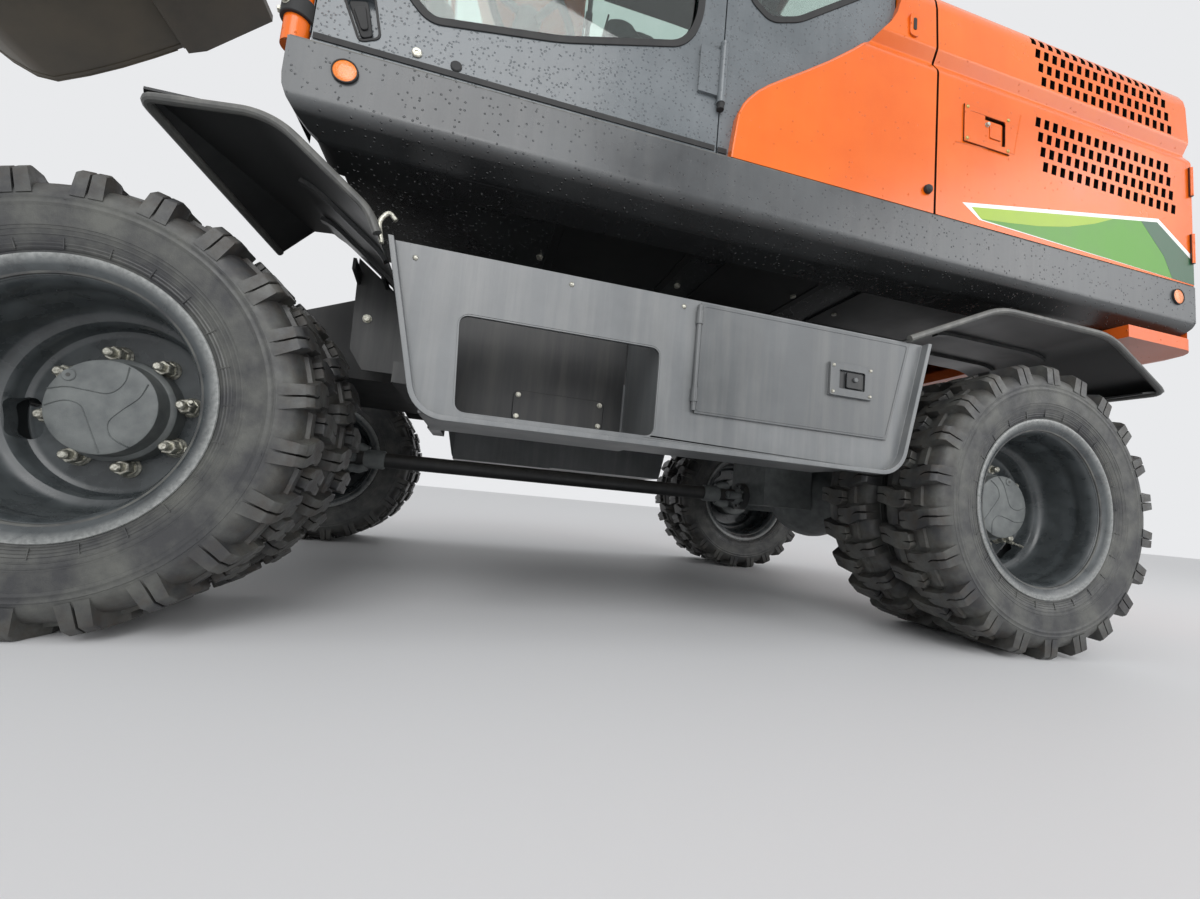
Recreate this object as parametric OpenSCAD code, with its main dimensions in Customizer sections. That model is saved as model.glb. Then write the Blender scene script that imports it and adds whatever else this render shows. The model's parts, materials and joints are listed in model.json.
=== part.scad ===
// Wheeled excavator with a backhoe arm, parked with the boom raised and the bucket curled.
// X points forward, Y to the left, Z up. The ground is at Z = 0.

/* [Layout] */
// Place of the slewing axis along the machine
swing_x = -530; // [-590:10:-470]
// Distance between the axles
wheelbase = 2660; // [2600:10:2760]
// Height of the deck's top face, on which the cab stands
deck_top = 1407; // [1395:1:1430]
// Half the width of the upper structure
upper_half = 1150; // [1135:1:1160]

/* [Wheels] */
// Overall diameter of a tyre over its lugs
tyre_od = 962; // [950:1:972]
// Section width of a tyre
tyre_w = 236; // [228:1:242]
// Height of a lug above the carcass
lug_h = 26; // [18:1:30]
// Number of lugs on each side of a tyre
lug_count = 22; // [18:1:24]
// Overall width over the outer tyres
track_over = 2396; // [2390:1:2400]
// Middle to middle of two twin tyres
twin_pitch = 280; // [272:1:288]
// Outer diameter of a rim's flange
rim_od = 590; // [586:1:594]
// Width of a rim over its flanges
rim_w = 200; // [190:1:206]
// Thickness of a wheel's disc
disc_t = 12; // [10:1:14]
// Circle of the wheel studs
stud_pcd = 275; // [270:1:280]
// Number of wheel studs
stud_count = 8; // [6:1:10]
// Radius of the hub's cap
hub_cap_r = 110; // [104:1:114]
// How far the hub's cap stands out of the mounting face
hub_cap_out = 86; // [70:1:96]
// Distance from the wheels' mounting face in to a king pin
king_in = 180; // [172:1:188]
// Radius of a king pin
king_r = 22; // [18:1:24]

/* [Undercarriage] */
// Half the width of the chassis beams
chassis_half = 400; // [380:1:410]
// Underside of the chassis
chassis_low = 740; // [720:1:760]
// Top of the chassis beams
chassis_top = 1100; // [1080:1:1110]
// Thickness of the chassis plates
chassis_t = 16; // [12:1:20]
// Length of the chassis beams
chassis_len = 3160; // [3100:10:3240]
// Inner edge of the fenders, from the middle
fender_in = 620; // [600:5:640]
// How far the front fenders' nose edge sweeps back
nose_back = 186; // [150:2:200]
// Thickness of the fender plates
fender_t = 6; // [4:1:8]
// Outer face of the fenders and step boxes, from the middle
side_y = 1178; // [1170:1:1182]
// Thickness of the step box plates
box_t = 6; // [4:1:8]
// Radius of the rolled edge round a step box
edge_r = 13; // [10:1:15]
// Radius of the bores in the tie-down lugs
lug_bore = 25; // [20:1:28]
// Radius of the towing pin's bore
tow_bore = 17; // [14:0.5:20]

/* [Cab] */
// Clearance between the cab and the boom cylinders
cab_gap = 20; // [16:1:30]
// Height of the roof above the ground
cab_top = 3060; // [3020:5:3120]
// Thickness of the cab's walls
cab_t = 40; // [34:1:50]
// Thickness of a window pane
glass_t = 6; // [5:1:8]

/* [Body] */
// Front end of the deck, from the slewing axis
deck_front = 1040; // [1030:2:1050]
// Rear end of the deck, behind the slewing axis
deck_rear = 2140; // [2120:5:2160]
// Underside of the deck's skirt
skirt_low = 1202; // [1199:1:1215]
// Height of the hood above the ground
hood_top = 2308; // [2290:2:2330]
// Radius of the hood's shoulders
shoulder_r = 140; // [110:5:160]
// Height of the groove along the hood
belt_z = 1972; // [1960:1:1984]
// Depth of the groove along the hood
belt_in = 24; // [16:1:26]
// Columns of holes in each vent
vent_cols = 17; // [12:1:18]
// Rows of holes in each vent
vent_rows = 4; // [3:1:4]
// Width of a vent hole
vent_w = 23; // [18:1:28]
// Height of a vent hole
vent_h = 38; // [30:1:44]
// Thickness of the body panels
panel_t = 30; // [24:1:40]
// Rearmost face of the counterweight, from the slewing axis
tail_x = 2290; // [2260:5:2320]

/* [Boom] */
// Boom foot pin forward of the slewing axis
foot_x = 300; // [280:5:320]
// Boom foot pin above the ground
foot_z = 1660; // [1650:5:1680]
// Boom foot pin to arm pin
boom_len = 4100; // [4000:10:4200]
// Angle of the boom's pin line above the horizon
boom_angle = 55.7; // [54:0.1:57]
// Distance from the boom's foot to its bend
bend_x = 1950; // [1900:10:2000]
// Width of the boom
boom_w = 320; // [290:5:324]
// Arm pin to bucket pin
arm_len = 2100; // [2050:5:2150]
// Angle of the arm's pin line, seen from the left
arm_angle = -79.1; // [-82:0.1:-77]
// Width of the arm
arm_w = 280; // [260:5:300]
// Width of the bucket
bucket_w = 920; // [860:10:980]
// Bucket pin to the tooth tips
bucket_r = 1196; // [1150:2:1230]
// Angle of the tooth tips from the bucket pin
bucket_angle = 189.2; // [186:0.1:192]
// Radius of the work gear's pins
pin_r = 35; // [30:1:38]

/* [Hidden] */
$fn = 48;

run = 0.05;
gap = 5;
tyre_r = tyre_od / 2;
wheel_z = tyre_r - 0.8;
lug_face = tyre_r - 1.7;
front_x = swing_x + wheelbase / 2;
rear_x = swing_x - wheelbase / 2;
outer_y = track_over / 2 - tyre_w / 2;
inner_y = outer_y - twin_pitch;
hub_y = (outer_y + inner_y) / 2;
king_y = hub_y - king_in;
frame_z = 1250;
frame_t = 16;
skirt_t = 8;
beam_t = 20;
tail_low = 1150;
chassis_end = chassis_len / 2;
seam_x = -872;
seam_gap = 9;
lid_low = hood_top - 44;
step_hinge_x = -66;
step_hinge_y = 1161.6;
door_hinge_x = -95;
door_hinge_out = 12.3;
panel_hinge_x = -2122;
panel_hinge_out = 4;
lid_hinge_up = 12.3;
cyl_y = 248;
cyl_eye = 36;
cab_out = upper_half - panel_t - 0.3;
cab_in = cyl_y + cyl_eye + cab_gap;

function unit(v) = v / norm(v);
function left_of(a, b) = let (d = unit(b - a)) [-d[1], d[0]];
function mitre(path, i, t) =
    i == 0 ? left_of(path[0], path[1]) * t
    : i == len(path) - 1 ? left_of(path[i - 1], path[i]) * t
    : let (
        n1 = left_of(path[i - 1], path[i]),
        n2 = left_of(path[i], path[i + 1]),
        m = unit(n1 + n2)
    ) m * t / (m * n1);
function ribbon(path, t) = concat(path, [for (i = [len(path) - 1:-1:0]) path[i] + mitre(path, i, t)]);
// A path's corners become arcs. Each row is a point and the radius of its bend.
function at(row) = [row[0], row[1]];
function corner(a, b, c, r) =
    let (
        u = unit(a - b),
        v = unit(c - b),
        half = acos(u * v) / 2,
        p = b + u * r / tan(half),
        m = b + unit(u + v) * r / sin(half),
        turned = (u[0] * v[1] - u[1] * v[0] > 0 ? -1 : 1) * (180 - 2 * half),
        start = atan2(p[1] - m[1], p[0] - m[0])
    ) [for (i = [0:6]) m + polar(start + turned * i / 6, r)];
function bent(rows) = concat(
    [at(rows[0])],
    [for (i = [1:len(rows) - 2]) each corner(at(rows[i - 1]), at(rows[i]), at(rows[i + 1]), rows[i][2])],
    [at(rows[len(rows) - 1])]
);
function polar(a, r) = [r * cos(a), r * sin(a)];
function turn(p, a) = [p[0] * cos(a) - p[1] * sin(a), p[0] * sin(a) + p[1] * cos(a)];

module across(y0, y1) {
    translate([0, y1, 0]) rotate([90, 0, 0]) linear_extrude(y1 - y0) children();
}
module rod_y(x, z, r, y0, y1) {
    translate([x, y0, z]) rotate([-90, 0, 0]) cylinder(r = r, h = y1 - y0);
}
module along(x0, x1) {
    translate([x0, 0, 0]) rotate([90, 0, 90]) linear_extrude(x1 - x0) children();
}
module plate(x0, x1, y0, y1, z0, z1) {
    translate([x0, y0, z0]) cube([x1 - x0, y1 - y0, z1 - z0]);
}
module both_sides() {
    children();
    mirror([0, 1, 0]) children();
}
module upper_at() {
    translate([swing_x, 0, 0]) children();
}
module rounded(r) {
    offset(r = r) offset(delta = -r) children();
}

// Wheels

module lug(side) {
    half = tyre_w / 2;
    translate([0, 0, lug_face - lug_h - 14]) linear_extrude(lug_h + 14)
        scale([1, side]) polygon([[-34, half - 4], [24, half - 4], [40, 60], [22, -12], [-18, -12],
            [-14, 52]]);
}
module shoulder(side) {
    half = tyre_w / 2;
    scale([1, side, 1]) translate([-5, 0, 0]) rotate([90, 0, 90]) translate([0, 0, -29]) linear_extrude(58)
        polygon([[half - 22, lug_face - 20], [half - 4, lug_face - 3], [half, lug_face - 60],
            [half - 12, lug_face - 78]]);
}
module tyre() {
    half = tyre_w / 2;
    carcass = tyre_r - lug_h;
    bead = rim_od / 2 - 40.8;
    difference() {
        rotate([-90, 0, 0]) rotate_extrude($fn = 96) polygon([
            [bead, -rim_w / 2 + 18], [rim_od / 2 + 4, -rim_w / 2 + 4], [350, -half + 3], [400, -half],
            [carcass - 34, -half + 8], [carcass - 6, -half + 30], [carcass, -50], [carcass, 50],
            [carcass - 6, half - 30], [carcass - 34, half - 8], [400, half], [350, half - 3],
            [rim_od / 2 + 4, rim_w / 2 - 4], [bead, rim_w / 2 - 18]
        ]);
        rotate([-90, 0, 0]) translate([0, 0, -half]) cylinder(r = bead, h = tyre_w);
    }
    for (side = [-1, 1], i = [0:lug_count - 1])
        rotate([0, (i + (side > 0 ? 0 : 0.5)) * 360 / lug_count, 0]) {
            lug(side);
            shoulder(side);
        }
}
module rim(out) {
    dish = twin_pitch / 2;
    edge = rim_w / 2;
    seat = rim_od / 2 - 41;
    scale([1, out, 1]) difference() {
        rotate([-90, 0, 0]) rotate_extrude($fn = 96) polygon([
            [seat, -edge + 16], [rim_od / 2, -edge], [rim_od / 2 - 7, -edge - 4], [seat - 8, -edge + 8],
                [seat - 32, -edge - 6],
            [156, -dish + 2], [100, -dish], [100, -dish + disc_t], [150, -dish + disc_t + 1],
                [214, -edge + 8], [seat - 16, -70],
            [seat - 10, -50], [seat - 10, edge - 10], [rim_od / 2 - 7, edge + 4], [rim_od / 2, edge],
                [seat, edge - 16]
        ]);
        for (a = [0, 180]) rotate([0, a + 20, 0]) translate([172, -edge - 60, 0]) rotate([-90, 0, 0])
            linear_extrude(140) hull() {
                translate([0, -26]) circle(r = 22);
                translate([0, 26]) circle(r = 22);
            }
    }
}
module tyres_at(x, side) {
    color("#1b1b1c") for (y = [outer_y, inner_y]) translate([x, side * y, wheel_z]) scale([1, side, 1])
        tyre();
}
module rims_at(x, side) {
    color("#55585a") translate([x, 0, wheel_z]) scale([1, side, 1]) {
        translate([0, outer_y, 0]) rim(1);
        translate([0, inner_y, 0]) rim(-1);
        rotate([-90, 0, 0]) {
            translate([0, 0, hub_y - 12]) cylinder(r = 170, h = 12);
            translate([0, 0, hub_y - 100]) cylinder(r = 130, h = 100);
            translate([0, 0, hub_y - 1]) cylinder(r = hub_cap_r, h = hub_cap_out);
            translate([0, 0, hub_y + hub_cap_out - 1]) cylinder(r1 = hub_cap_r, r2 = hub_cap_r - 8, h = 7);
            for (i = [0:stud_count - 1]) rotate([0, 0, i * 360 / stud_count + 12])
                translate([stud_pcd / 2, 0, hub_y]) {
                cylinder(r = 11, h = 54);
                cylinder(r = 19, h = 30, $fn = 6);
            }
        }
    }
}
module tyres_front_left() { tyres_at(front_x, 1); }
module tyres_front_right() { tyres_at(front_x, -1); }
module tyres_rear_left() { tyres_at(rear_x, 1); }
module tyres_rear_right() { tyres_at(rear_x, -1); }
module rims_front_left() { rims_at(front_x, 1); }
module rims_front_right() { rims_at(front_x, -1); }
module rims_rear_left() { rims_at(rear_x, 1); }
module rims_rear_right() { rims_at(rear_x, -1); }

// Undercarriage

chassis_profile = [
    [-chassis_end, chassis_low], [-chassis_end, 930], [-1100, chassis_top], [860, chassis_top],
    [1260, 930], [chassis_end, 890], [chassis_end, chassis_low]
];
ring_r = 520;
ring_seat_z = frame_z - 82;
module chassis() {
    color("#26282a") difference() {
        union() {
            upper_at() {
                across(-chassis_half, chassis_half) difference() {
                    polygon(chassis_profile);
                    offset(delta = -chassis_t) polygon(chassis_profile);
                }
                both_sides() across(chassis_half - chassis_t, chassis_half) polygon(chassis_profile);
            }
            translate([swing_x, 0, chassis_top - 2])
                cylinder(r = ring_r + 20, h = ring_seat_z - chassis_top + 2, $fn = 96);
        }
        translate([swing_x, 0, chassis_top - 60]) cylinder(r = ring_r - 140, h = 300, $fn = 96);
    }
}
module slew_ring() {
    color("#3a3c3e") translate([swing_x, 0, ring_seat_z]) difference() {
        cylinder(r = ring_r, h = frame_z - ring_seat_z - 0.3, $fn = 96);
        translate([0, 0, -1]) cylinder(r = ring_r - 100, h = frame_z - ring_seat_z + 2, $fn = 96);
    }
}
lug_x = chassis_end + 62;
lug_z = chassis_low + 70;
lug_t = 25;
lug_y = chassis_half - 60;
tow_gap = 60;
module tie_down_lug() {
    difference() {
        across(lug_y, lug_y + lug_t) hull() {
            translate([lug_x, lug_z]) circle(r = lug_bore + 28);
            translate([chassis_end + 0.3, lug_z - 60]) square([2, 120]);
        }
        rod_y(lug_x, lug_z, lug_bore, lug_y - 1, lug_y + lug_t + 1);
    }
}
module tow_clevis() {
    difference() {
        for (z = [lug_z - tow_gap / 2 - 16, lug_z + tow_gap / 2]) translate([0, 0, z])
            linear_extrude(16) hull() {
            translate([-lug_x - 10, 0]) circle(r = tow_bore + 30);
            translate([-chassis_end - 20, -80]) square([18, 160]);
        }
        translate([-lug_x - 10, 0, lug_z - 100]) cylinder(r = tow_bore, h = 200);
    }
    plate(-chassis_end - 14, -chassis_end - 0.3, -80, 80, lug_z - 60, lug_z + 60);
}
module towing_lugs() {
    color("#26282a") upper_at() {
        both_sides() for (s = [-1, 1]) scale([s, 1, 1]) tie_down_lug();
        tow_clevis();
    }
}
module axle_at(x, bulb, reach) {
    translate([x, 0, wheel_z]) rotate([-90, 0, 0]) rotate_extrude() polygon(concat(
        [[0, -reach], [85, -reach], [85, -300]],
        [for (a = [0:15:180]) [95 + (bulb - 95) * sin(a), -260 + 520 * a / 180]],
        [[85, 300], [85, reach], [0, reach]]
    ));
}
steer_x = 110;
steer_y = king_y - 112;
steer_z = 180;
module front_axle() {
    color("#2d2f31") difference() {
        union() {
            axle_at(front_x, 190, king_y - 70);
            both_sides() for (z = [-160, 110])
                translate([front_x - 60, king_y - 110, wheel_z + z]) cube([120, 160, 50]);
            both_sides() translate([front_x - 60, king_y - 120, wheel_z - 160]) cube([120, 50, 320]);
            plate(front_x - 150, front_x + 90, -150, 150, wheel_z + 100, chassis_low);
            rod_y(front_x + steer_x, wheel_z + steer_z, 38, -300, 300);
        }
        both_sides() translate([front_x, king_y, wheel_z - 200]) cylinder(r = king_r + run, h = 400);
        rod_y(front_x + steer_x, wheel_z + steer_z, 18 + run, -301, 301);
    }
}
module steering_rod() {
    color("#b8bcc0") translate([front_x + steer_x, 0, wheel_z + steer_z]) {
        rod_y(0, 0, 18, -steer_y, steer_y);
        both_sides() rod_y(0, 0, 26, steer_y - 30, steer_y + 2);
    }
}
module rear_axle() {
    color("#2d2f31") {
        axle_at(rear_x, 200, hub_y - 100.3);
        both_sides() plate(rear_x - 90, rear_x + 90, 300, 380, wheel_z, chassis_low);
        plate(rear_x + 150, rear_x + 420, -120, 200, wheel_z - 60, chassis_low - 20);
    }
}
module drive_shaft() {
    color("#303234") translate([0, 0, wheel_z - 20]) {
        translate([rear_x + 420.3, 0, 0]) rotate([0, 90, 0]) cylinder(r = 70, h = 30);
        translate([rear_x + 450, 0, 0]) rotate([0, 90, 0]) cylinder(r = 34, h = wheelbase - 450 - 235);
        translate([front_x - 236, 0, 0]) rotate([0, 90, 0]) cylinder(r = 70, h = 30);
    }
}
module knuckle_at(side) {
    color("#303234") scale([1, side, 1]) translate([front_x, king_y, wheel_z]) {
        translate([0, 0, -150]) cylinder(r = king_r, h = 336);
        cylinder(r = 62, h = 219.4, center = true);
        rotate([-90, 0, 0]) cylinder(r = 60, h = hub_y - king_y - 100.3);
        translate([0, 0, 165]) linear_extrude(30) hull() {
            circle(r = 34);
            translate([steer_x, steer_y + 24 - king_y]) circle(r = 18);
        }
    }
}
module knuckle_left() { knuckle_at(1); }
module knuckle_right() { knuckle_at(-1); }

// Rows are x, z and the radius of the bend
front_fender = [[1286, 1182, 0], [1030, 1188, 60], [805, 1013, 60], [759, 923, 0]];
rear_fender = [[-741, 954, 0], [-1140, 1132, 60], [-1640, 1127, 60], [-1921, 966, 0]];
nose_z = 1182;
box_top = 955;
box_low = 540;
box_profile = [[750, box_top], [-835, box_top], [-742, box_low], [641, box_low]];
window = [[575, 803], [36, 803], [36, 552], [560, 552]];
door_shape = [[-70, 948], [-784, 948], [-706, 634], [-70, 634]];
box_back = 800;
module box_outline(grow) {
    intersection() {
        offset(delta = grow) rounded(80) polygon([[800, 1200], [-894, 1200], box_profile[2],
            box_profile[3]]);
        translate([-1000, 0]) square([2000, box_top]);
    }
}
module fender_sheet(rows) {
    across(fender_in, side_y) polygon(ribbon(bent(rows), fender_t));
    across(side_y - 9, side_y) polygon(ribbon(bent(rows), 22));
}
module fender_nose() {
    tip = front_fender[0][0];
    difference() {
        fender_sheet(front_fender);
        translate([0, 0, nose_z - 60]) linear_extrude(100)
            polygon([[tip + 20, side_y], [tip - nose_back, fender_in - 1], [tip + 20, fender_in - 1]]);
    }
    // Rows are x, y and z along the nose's upper and lower edges
    hull() for (edge = [
        [tip - 4, side_y - 8, nose_z - 6], [tip + 2, side_y - 8, nose_z - 20],
        [tip - nose_back, fender_in, nose_z - 2], [tip - 98, fender_in, nose_z - 102]
    ]) translate(edge) cube(6);
}
module fenders() {
    bracket_in = chassis_half + 0.3;
    color("#232425") both_sides() upper_at() {
        difference() {
            union() {
                fender_nose();
                fender_sheet(rear_fender);
                across(fender_in, side_y - 2) translate([-1925, 958]) square([60, fender_t]);
            }
            across(fender_in - 20, side_y + 1) box_outline(edge_r + 0.3);
            plate(-1000, 800, fender_in - 20, side_y + 1, 800, box_top + 0.3);
        }
        across(bracket_in, fender_in + 80) polygon([[850, 980], [950, 980], [950, 1129], [850, 1046]]);
        across(bracket_in, fender_in + 80) polygon([[-1250, 990], [-1150, 990], [-1150, 1128],
            [-1250, 1127]]);
    }
}
module step_box() {
    difference() {
        union() {
            across(side_y - 30, side_y - 30 + box_t) difference() {
                box_outline(0);
                rounded(30) polygon(window);
                offset(delta = -20) polygon(door_shape);
            }
            difference() {
                across(box_back, side_y - 28) polygon([[30, box_top - 15], [-800, box_top - 15],
                    [-725, box_low + 8], [30, box_low + 8]]);
                across(box_back + box_t, side_y) offset(delta = -box_t)
                    polygon([[30, box_top - 15], [-800, box_top - 15], [-725, box_low + 8],
                        [30, box_low + 8]]);
            }
            plate(30, 640, box_back, side_y - 28, box_low + 2, box_low + 10);
            plate(30, 640, box_back, box_back + box_t, box_low + 2, 770);
            plate(634, 640, box_back, side_y - 28, box_low + 2, 770);
        }
    }
    across(side_y - 30, side_y) difference() {
        box_outline(edge_r);
        translate([0, 0.1]) box_outline(0);
    }
    for (x = [-600, -100, 420]) plate(x, x + 60, chassis_half + 0.3, box_back + 2, 760, 820);
}
module step_boxes() {
    color("#4a4b4c") both_sides() upper_at() step_box();
}
module step_door(side) {
    color("#4a4b4c") scale([1, side, 1]) upper_at() {
        across(side_y - 23.7, side_y - 17) polygon(door_shape);
        translate([step_hinge_x, step_hinge_y, 640]) cylinder(r = 7, h = 300);
        across(side_y - 17.2, side_y - 10) difference() {
            translate([-640, 745]) square([150, 100]);
            translate([-615, 765]) square([90, 60]);
        }
    }
}
module step_door_left() { step_door(1); }
module step_door_right() { step_door(-1); }

// Upper structure

module skirt() {
    // Rows are y, z and the radius of the bend
    section = bent([
        [upper_half, deck_top, 0], [upper_half, skirt_low + 44, 50], [upper_half - 76, skirt_low, 50],
            [upper_half - 200, skirt_low, 0]
    ]);
    intersection() {
        union() {
            along(-deck_rear, deck_front) polygon(ribbon(section, -skirt_t));
            for (x = [-deck_rear, deck_front - skirt_t])
                plate(x, x + skirt_t, upper_half - 200, upper_half, skirt_low + 60, deck_top);
        }
        across(0, upper_half + 1) polygon(bent([
            [-deck_rear, deck_top, 0], [-deck_rear, skirt_low - 1, 60],
                [deck_front, skirt_low - 1, 110], [deck_front, deck_top, 0]
        ]));
    }
}
module boom_bracket() {
    polygon([
        [-300, deck_top - 20], [foot_x - 150, foot_z + 60], [foot_x - 70, foot_z + 90],
            [foot_x + 70, foot_z + 90], [foot_x + 140, foot_z + 30],
        [800, 1360], [860, 1340], [860, frame_z], [-300, frame_z]
    ]);
}
module upper_frame() {
    deck_t = 12;
    wing = upper_half - 190;
    color("#2a2c2e") upper_at() difference() {
        union() {
            both_sides() skirt();
            both_sides() plate(160 - deck_rear, deck_front - skirt_t, cab_in, upper_half - skirt_t,
                deck_top - deck_t, deck_top);
            plate(160 - deck_rear, -200, -cab_in - 1, cab_in + 1, deck_top - deck_t, deck_top);
            plate(440 - deck_rear, 700, -wing, wing, frame_z, frame_z + frame_t);
            both_sides() plate(690, deck_front - 80, cab_in, wing, frame_z, frame_z + frame_t);
            both_sides() for (y = [cab_in, 700])
                plate(440 - deck_rear, deck_front - 100, y, y + beam_t, frame_z, deck_top);
            both_sides() across(boom_w / 2 + 10, boom_w / 2 + 30) boom_bracket();
            rod_y(boom_barrel_eye[0], boom_barrel_eye[1], 50, -cyl_y + cyl_eye + 0.3,
                cyl_y - cyl_eye - 0.3);
        }
        rod_y(foot_x, foot_z, pin_r + run, -cab_in, cab_in);
    }
}
// The hood's outer line from the deck over the shoulder.
// Rows are the distance in from the side, the height and the radius of the bend.
function from_side(rows) = [for (row = rows) [upper_half - row[0], row[1], row[2]]];
module hood_section() {
    outer = bent(from_side([
        [0, deck_top + gap, 0], [0, belt_z - 42, 50], [belt_in, belt_z, 12], [5, belt_z + 44, 30],
            [16, hood_top, shoulder_r], [300, hood_top, 0]
    ]));
    inner = bent(from_side([
        [panel_t, deck_top + gap, 0], [panel_t, hood_top - panel_t, shoulder_r - 30],
            [300, hood_top - panel_t, 0]
    ]));
    last = len(inner) - 1;
    for (s = [-1, 1]) scale([s, 1]) polygon(concat(outer, [for (i = [0:last]) inner[last - i]]));
    translate([-upper_half + 300, hood_top - panel_t]) square([2 * upper_half - 600, panel_t]);
}
module hood_block(inset, low) {
    line = bent(from_side([[inset, low, 0], [inset + 16, hood_top - 2, shoulder_r],
        [300, hood_top - 2, 0]]));
    last = len(line) - 1;
    polygon(concat(line, [for (i = [0:last]) [-line[last - i][0], line[last - i][1]]]));
}
module counterweight() {
    side = upper_half - 4;
    color("#e2571d") upper_at() difference() {
        intersection() {
            along(-tail_x, -deck_rear + 360) hood_block(4, tail_low);
            across(-side, side) polygon(bent([
                [360 - deck_rear, hood_top, 0], [-tail_x, hood_top, 60], [-tail_x, tail_low, 130],
                    [360 - deck_rear, tail_low, 0]
            ]));
            translate([0, 0, tail_low - 1]) linear_extrude(hood_top - tail_low) polygon(bent([
                [360 - deck_rear, -side, 0], [-deck_rear, -side, 90], [40 - tail_x, 240 - side, 90],
                    [-tail_x, -300, 200], [-tail_x, 300, 200],
                [40 - tail_x, side - 240, 90], [-deck_rear, side, 90], [360 - deck_rear, side, 0]
            ]));
        }
        plate(-deck_rear, 400 - deck_rear, -upper_half, upper_half, skirt_low - gap, hood_top + 1);
    }
}
module engine() {
    color("#3c3e40") upper_at() plate(-1950, -1250, -450, 350, deck_top + 0.3, 2050);
}
// The front edge of the left panel sweeps up behind the cab door. Rows are x and z.
sweep = [
    [-133, deck_top], [-136, 1450], [-147, 1554], [-160, 1588], [-176, 1612], [-204, 1644],
        [-240, 1675], [-300, 1718], [-359, 1759], [-448, 1824],
    [-536, 1896], [-616, 1972], [-686, 2056], [-710, 2100], [-723, 2145], [-730, hood_top + 1]
];
module body_panels() {
    color("#e2571d") upper_at() {
        intersection() {
            along(seam_x, -100) hood_section();
            across(0, upper_half + 1) polygon(concat(sweep,
                [[seam_x - 1, hood_top + 1], [seam_x - 1, deck_top]]));
        }
        along(seam_x, -600) intersection() {
            hood_section();
            translate([-upper_half - 1, deck_top]) square([310, hood_top]);
        }
        along(seam_x, -730) intersection() {
            hood_section();
            translate([-upper_half + 300, deck_top]) square([upper_half - 299, hood_top]);
        }
        along(seam_x, seam_x + 6) hood_block(panel_t - 1, deck_top + gap);
    }
}
// A vent's front top corner is at x and z. Lower rows lie further back, and each hole leans.
module vent(x, z) {
    for (r = [0:vent_rows - 1], c = [0:vent_cols - 1])
        translate([x - c * 41.5 - r * 12, z - r * 55 - vent_h])
            polygon([[0, 0], [-vent_w, 0], [-vent_w - 5, vent_h], [-5, vent_h]]);
}
latch = [-1190, 1701, 202, 138];
module side_door(side) {
    rear = 5 - deck_rear;
    front = seam_x - seam_gap;
    color("#e2571d") scale([1, side, 1]) upper_at() {
        for (z = [1500, 1780]) translate([panel_hinge_x, upper_half + panel_hinge_out, z])
            cylinder(r = 8, h = 120);
        difference() {
            union() {
                along(rear, front) intersection() {
                    hood_section();
                    translate([300, deck_top]) square([upper_half, lid_low - gap - deck_top]);
                }
                across(upper_half - 1, upper_half + 5) translate([latch[0], latch[1]])
                    square([latch[2], latch[3]]);
            }
            across(upper_half - 14, upper_half + 6) translate([latch[0] + 22, latch[1] + 22])
                square([latch[2] * 0.45, latch[3] - 44]);
            across(upper_half - 120, upper_half + 1) vent(-1313, 1889);
            across(upper_half - 120, upper_half + 1) vent(-1313, 2229);
        }
    }
}
module side_door_left() { side_door(1); }
module side_door_right() { side_door(-1); }
module hood_lid() {
    front = seam_x - gap;
    color("#e2571d") upper_at() {
        along(5 - deck_rear, front) intersection() {
            hood_section();
            translate([-upper_half, lid_low]) square([2 * upper_half, hood_top]);
        }
        for (y = [-700, 400]) {
            rod_y(front, hood_top + lid_hinge_up, 12, y, y + 300);
            plate(front - 70, front, y, y + 300, hood_top - 1, hood_top + 6);
        }
    }
}
module fuel_tank() {
    out = upper_half - 6;
    color("#2a2c2e") upper_at() {
        translate([0, 0, deck_top + 0.3]) linear_extrude(653) rounded(40) translate([-560, -out])
            square([1120, out - cab_in - 16]);
        translate([0, 0, deck_top + 0.3]) linear_extrude(353) rounded(25) translate([560.3, -out])
            square([400, out - cab_in - 116]);
    }
}
module exhaust() {
    color("#34363a") upper_at() translate([seam_x + 72, -620, hood_top + 0.3]) {
        cylinder(r = 50, h = 300);
        translate([0, 0, 299]) cylinder(r = 56, h = 14);
    }
}

cab_outline = [
    [1008, deck_top + 6], [1004, 2250], [830, cab_top - 40], [800, cab_top], [-640, cab_top],
        [-720, cab_top - 120],
    [-720, deck_top + 6]
];
door_outline = [[1002, deck_top + 12], [998, 2250], [850, cab_top - 100], [-95, cab_top - 100],
    [-95, deck_top + 12]];
door_window = [
    [940, 2250], [835, cab_top - 180], [-30, cab_top - 180], [-11, 1860], [10, 1790], [47, 1745],
        [397, 1640], [736, 1580], [800, 1640]
];
rear_pane = [[-180, 1980], [-250, 1930], [-350, 1965], [-600, 2150], [-620, cab_top - 180],
    [-180, cab_top - 180]];
right_pane = [[940, 1700], [940, 2250], [835, cab_top - 180], [-600, cab_top - 180], [-600, 1900],
    [-100, 1640]];
handle_cup = [[944, 1575], [894, 1465], [849, 1488], [876, 1599]];
front_low = 1620;
front_high = cab_top - 100;
rear_low = 2000;
front_in = 70;
rear_in = 90;
module cab_shell() {
    color("#3c4248") upper_at() difference() {
        across(cab_in, cab_out) rounded(50) polygon(cab_outline);
        across(cab_in + cab_t, cab_out - cab_t) offset(delta = -cab_t) rounded(50) polygon(cab_outline);
        across(cab_out - cab_t - 1, cab_out + 1) offset(delta = gap) polygon(door_outline);
        across(cab_out - cab_t - 1, cab_out + 1) rounded(30) polygon(rear_pane);
        across(cab_in - 1, cab_in + cab_t + 1) rounded(30) polygon(right_pane);
        plate(600, 1200, cab_in + front_in, cab_out - front_in, front_low, front_high);
        plate(-800, -600, cab_in + rear_in, cab_out - rear_in, rear_low, front_high - 100);
    }
}
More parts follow.
